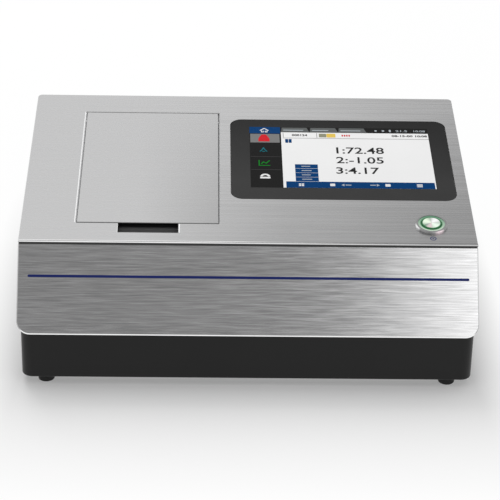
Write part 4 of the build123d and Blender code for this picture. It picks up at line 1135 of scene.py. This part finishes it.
def screen_red():
    """Beaker icon on the grey cell, and four small marks in the tool row."""
    red = Picture(MARKS)
    red.outline(shifted([*BEAKER_SIDE, *mirrored(BEAKER_SIDE)], ICON_X))
    left, right, *rest = RED_MARK
    for i in range(RED_MARKS):
        red.rect(left + i * RED_PITCH, right + i * RED_PITCH, *rest)
    show(red, "screen_red", "screen_red", colour(214, 40, 50))


def screen_blocks():
    """The yellow and the olive block in the tool row."""
    yellow = Picture(MARKS)
    yellow.rect(*YELLOW_BLOCK)
    show(yellow, "screen_yellow", "screen_yellow", colour(236, 202, 96))
    olive = Picture(MARKS)
    olive.rect(*OLIVE_BLOCK)
    show(olive, "screen_olive", "screen_olive", colour(150, 150, 128))


def screen_charts():
    """The peak and the chart among the sidebar's icons."""
    teal = Picture(MARKS)
    teal.line(PEAK, ICON_STROKE)
    teal.rect(*PEAK_FOOT)
    show(teal, "screen_teal", "screen_teal", colour(24, 112, 124))
    green = Picture(MARKS)
    green.line(CHART_AXES, ICON_STROKE)
    green.line(CHART_LINE, CHART_STROKE)
    show(green, "screen_green", "screen_green", colour(20, 132, 40))


def make_screen():
    screen_ground()
    screen_page()
    screen_blue()
    screen_grey()
    screen_rules()
    screen_marks()
    screen_small_marks()
    screen_figures()
    screen_red()
    screen_blocks()
    screen_charts()


# ---- World ----
class Zone(NamedTuple):
    """A smooth change of the world's strength along one axis of the direction."""
    start: float
    end: float
    before: float
    past: float


FRONT_RISE = Zone(0.076, 0.160, 0.320, 1.84)      # the studio in front of the instrument, from left to right
FRONT_RIGHT = Zone(0.2, 0.33, 0.0, -0.75)
FRONT_LEFT = Zone(-0.45, -0.3, 0.6, 0.0)
BACK_FALL = Zone(0.02, 0.15, 0.97, 0.57)          # the studio behind it
BACK_RIGHT = Zone(0.3, 0.5, 0.0, 0.5)
FRONT_TO_BACK = Zone(-0.2, 0.2, 0.0, 1.0)
LIGHTING_LEVEL = 0.70     # for all but the camera's view and reflections


def world_light():
    """Pale studio: white to the camera, even for the light, with bright and dim zones in reflections."""
    world = bpy.data.worlds.new("studio")
    bpy.context.scene.world = world
    world.use_nodes = True
    nodes = Nodes(world.node_tree)
    output = nodes.node("ShaderNodeOutputWorld")
    split = nodes.node("ShaderNodeSeparateXYZ")
    nodes.feed(split.inputs[0], nodes.node("ShaderNodeTexCoord").outputs["Generated"])
    x, y, _ = split.outputs

    def change(value, zone):
        return nodes.span(value, zone.before, zone.past, zone.start, zone.end,
                          interpolation_type="SMOOTHSTEP")

    def background(strength):
        made = nodes.node("ShaderNodeBackground")
        nodes.fill(made, {"Color": WHITE, "Strength": strength})
        return made.outputs[0]

    front = nodes.math("ADD", change(x, FRONT_RISE), change(x, FRONT_RIGHT))
    front = nodes.math("ADD", front, change(x, FRONT_LEFT))
    back = nodes.math("ADD", change(x, BACK_FALL), change(x, BACK_RIGHT))
    behind = change(y, FRONT_TO_BACK)
    ahead = nodes.math("SUBTRACT", 1.0, behind)
    level = nodes.math("ADD", nodes.product(behind, back), nodes.product(ahead, front))
    path = nodes.node("ShaderNodeLightPath")
    lighting = nodes.choose(path.outputs["Is Glossy Ray"], background(LIGHTING_LEVEL), background(level))
    seen = nodes.choose(path.outputs["Is Camera Ray"], lighting, background(1.0))
    nodes.feed(output.inputs["Surface"], seen)


def make_lamp():
    """Square soft light that no polished surface shows."""
    data = bpy.data.lights.new("key", "AREA")
    data.shape = "RECTANGLE"
    data.size, data.size_y = LAMP_SIZE
    data.energy = LAMP_POWER
    lamp = bpy.data.objects.new("key", data)
    bpy.context.scene.collection.objects.link(lamp)
    lamp.location = LAMP_PLACE
    lamp.rotation_euler = (Vector(LAMP_TARGET) - Vector(LAMP_PLACE)).to_track_quat("-Z", "Y").to_euler()
    lamp.visible_glossy = False


# ---- Floor; distances from the footprint, in metres ----
FAR_WHITE = (0.10, 0.94)  # share of pure white at the instrument's footprint, and past the reach
FAR_REACH = 0.16
FAR_STRETCH = 4           # how much sooner that is to the left and right
NEAR_PAINTED_LIGHT = 0.22         # share of pure white at the base's foot line, a painted light that lifts the shadow there, gone past the reach
NEAR_REACH = 0.015
FOOT_INSET = 0.013        # of the foot line from the base's footprint
MIRRORED_WHITE = 0.8      # share of pure white that reflections show


def footprint_distance(shader, box, stretch=1, inset=0.0):
    """Distance from a box's footprint, or from a line inside it, with x drawn out by a factor."""
    low, high = (Vector(corner) for corner in box)
    middle = (low + high) / 2
    half = (high - low) / 2 - Vector((inset, inset, 0))
    away = shader.vector("ABSOLUTE", shader.vector("SUBTRACT", shader.place(), (middle.x, middle.y, 0)))
    outside = shader.vector("MAXIMUM", shader.vector("SUBTRACT", away, (half.x, half.y, 1)), (0, 0, 0))
    return shader.vector("LENGTH", shader.vector("MULTIPLY", outside, (stretch, 1, 0)))


def floor_paper():
    """Pale paper: it keeps the soft shadow near the object, lifted by painted light at the base's foot line, and
    turns white away from it.
    """
    shader = Shader("floor_paper")
    shader.give({
        "Base Color": shader.mottle(shader.noise(3.0, 2.0), grey(243), grey(246)),
        "Roughness": 0.9,
        "Specular IOR Level": 0.1,
    })
    far = shader.span(footprint_distance(shader, cad_box, FAR_STRETCH), *FAR_WHITE, 0.0, FAR_REACH)
    foot = footprint_distance(shader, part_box("base_housing"), inset=FOOT_INSET)
    # painted light: white mixed in at the base's foot line lifts the contact shadow
    near = shader.span(foot, NEAR_PAINTED_LIGHT, 0.0, 0.0, NEAR_REACH)
    white = shader.math("ADD", far, near)
    path = shader.node("ShaderNodeLightPath")
    seen = shader.product(path.outputs["Is Camera Ray"], white)
    through = shader.product(path.outputs["Is Transmission Ray"], white)
    mirrored_share = shader.product(path.outputs["Is Glossy Ray"], MIRRORED_WHITE)
    share = shader.math("ADD", shader.math("ADD", seen, through), mirrored_share)
    glow = shader.node("ShaderNodeEmission")
    shader.fill(glow, {"Strength": 1.0})
    seen_paper = shader.choose(share, shader.bsdf.outputs[0], glow.outputs[0])
    shader.feed(shader.output.inputs["Surface"], seen_paper)
    return shader.material


def make_floor():
    paper = floor_paper()
    work = bmesh.new()
    bmesh.ops.create_grid(work, x_segments=FLOOR_CELLS, y_segments=FLOOR_CELLS, size=FLOOR_SIZE)
    mesh = bpy.data.meshes.new("floor")
    work.to_mesh(mesh)
    work.free()
    mesh.materials.append(paper)
    floor = bpy.data.objects.new("floor", mesh)
    bpy.context.scene.collection.objects.link(floor)


def make_camera():
    pitch, yaw, roll = radians(CAMERA_PITCH), radians(CAMERA_YAW), radians(CAMERA_ROLL)
    ahead = Vector((sin(yaw) * cos(pitch), cos(yaw) * cos(pitch), -sin(pitch)))
    level = Vector((cos(yaw), -sin(yaw), 0))
    upward = level.cross(ahead)
    right = level * cos(roll) + upward * sin(roll)
    top = upward * cos(roll) - level * sin(roll)
    data = bpy.data.cameras.new("camera")
    data.sensor_width = SENSOR_WIDTH
    data.lens = SENSOR_WIDTH * FOCAL_PX / IMAGE_SIZE
    data.clip_end = CLIP_END
    camera = bpy.data.objects.new("camera", data)
    bpy.context.scene.collection.objects.link(camera)
    axes = Matrix((right, top, -ahead)).transposed()
    camera.matrix_world = Matrix.Translation(CAMERA_PLACE) @ axes.to_4x4()
    bpy.context.scene.camera = camera


# ---- Scene ----
make_camera()
world_light()
make_lamp()
make_floor()
dress_nodes(make_materials())
make_stripe()
make_mark()
make_seam_strip()
make_screen()
bpy.context.scene.view_settings.view_transform = "Standard"
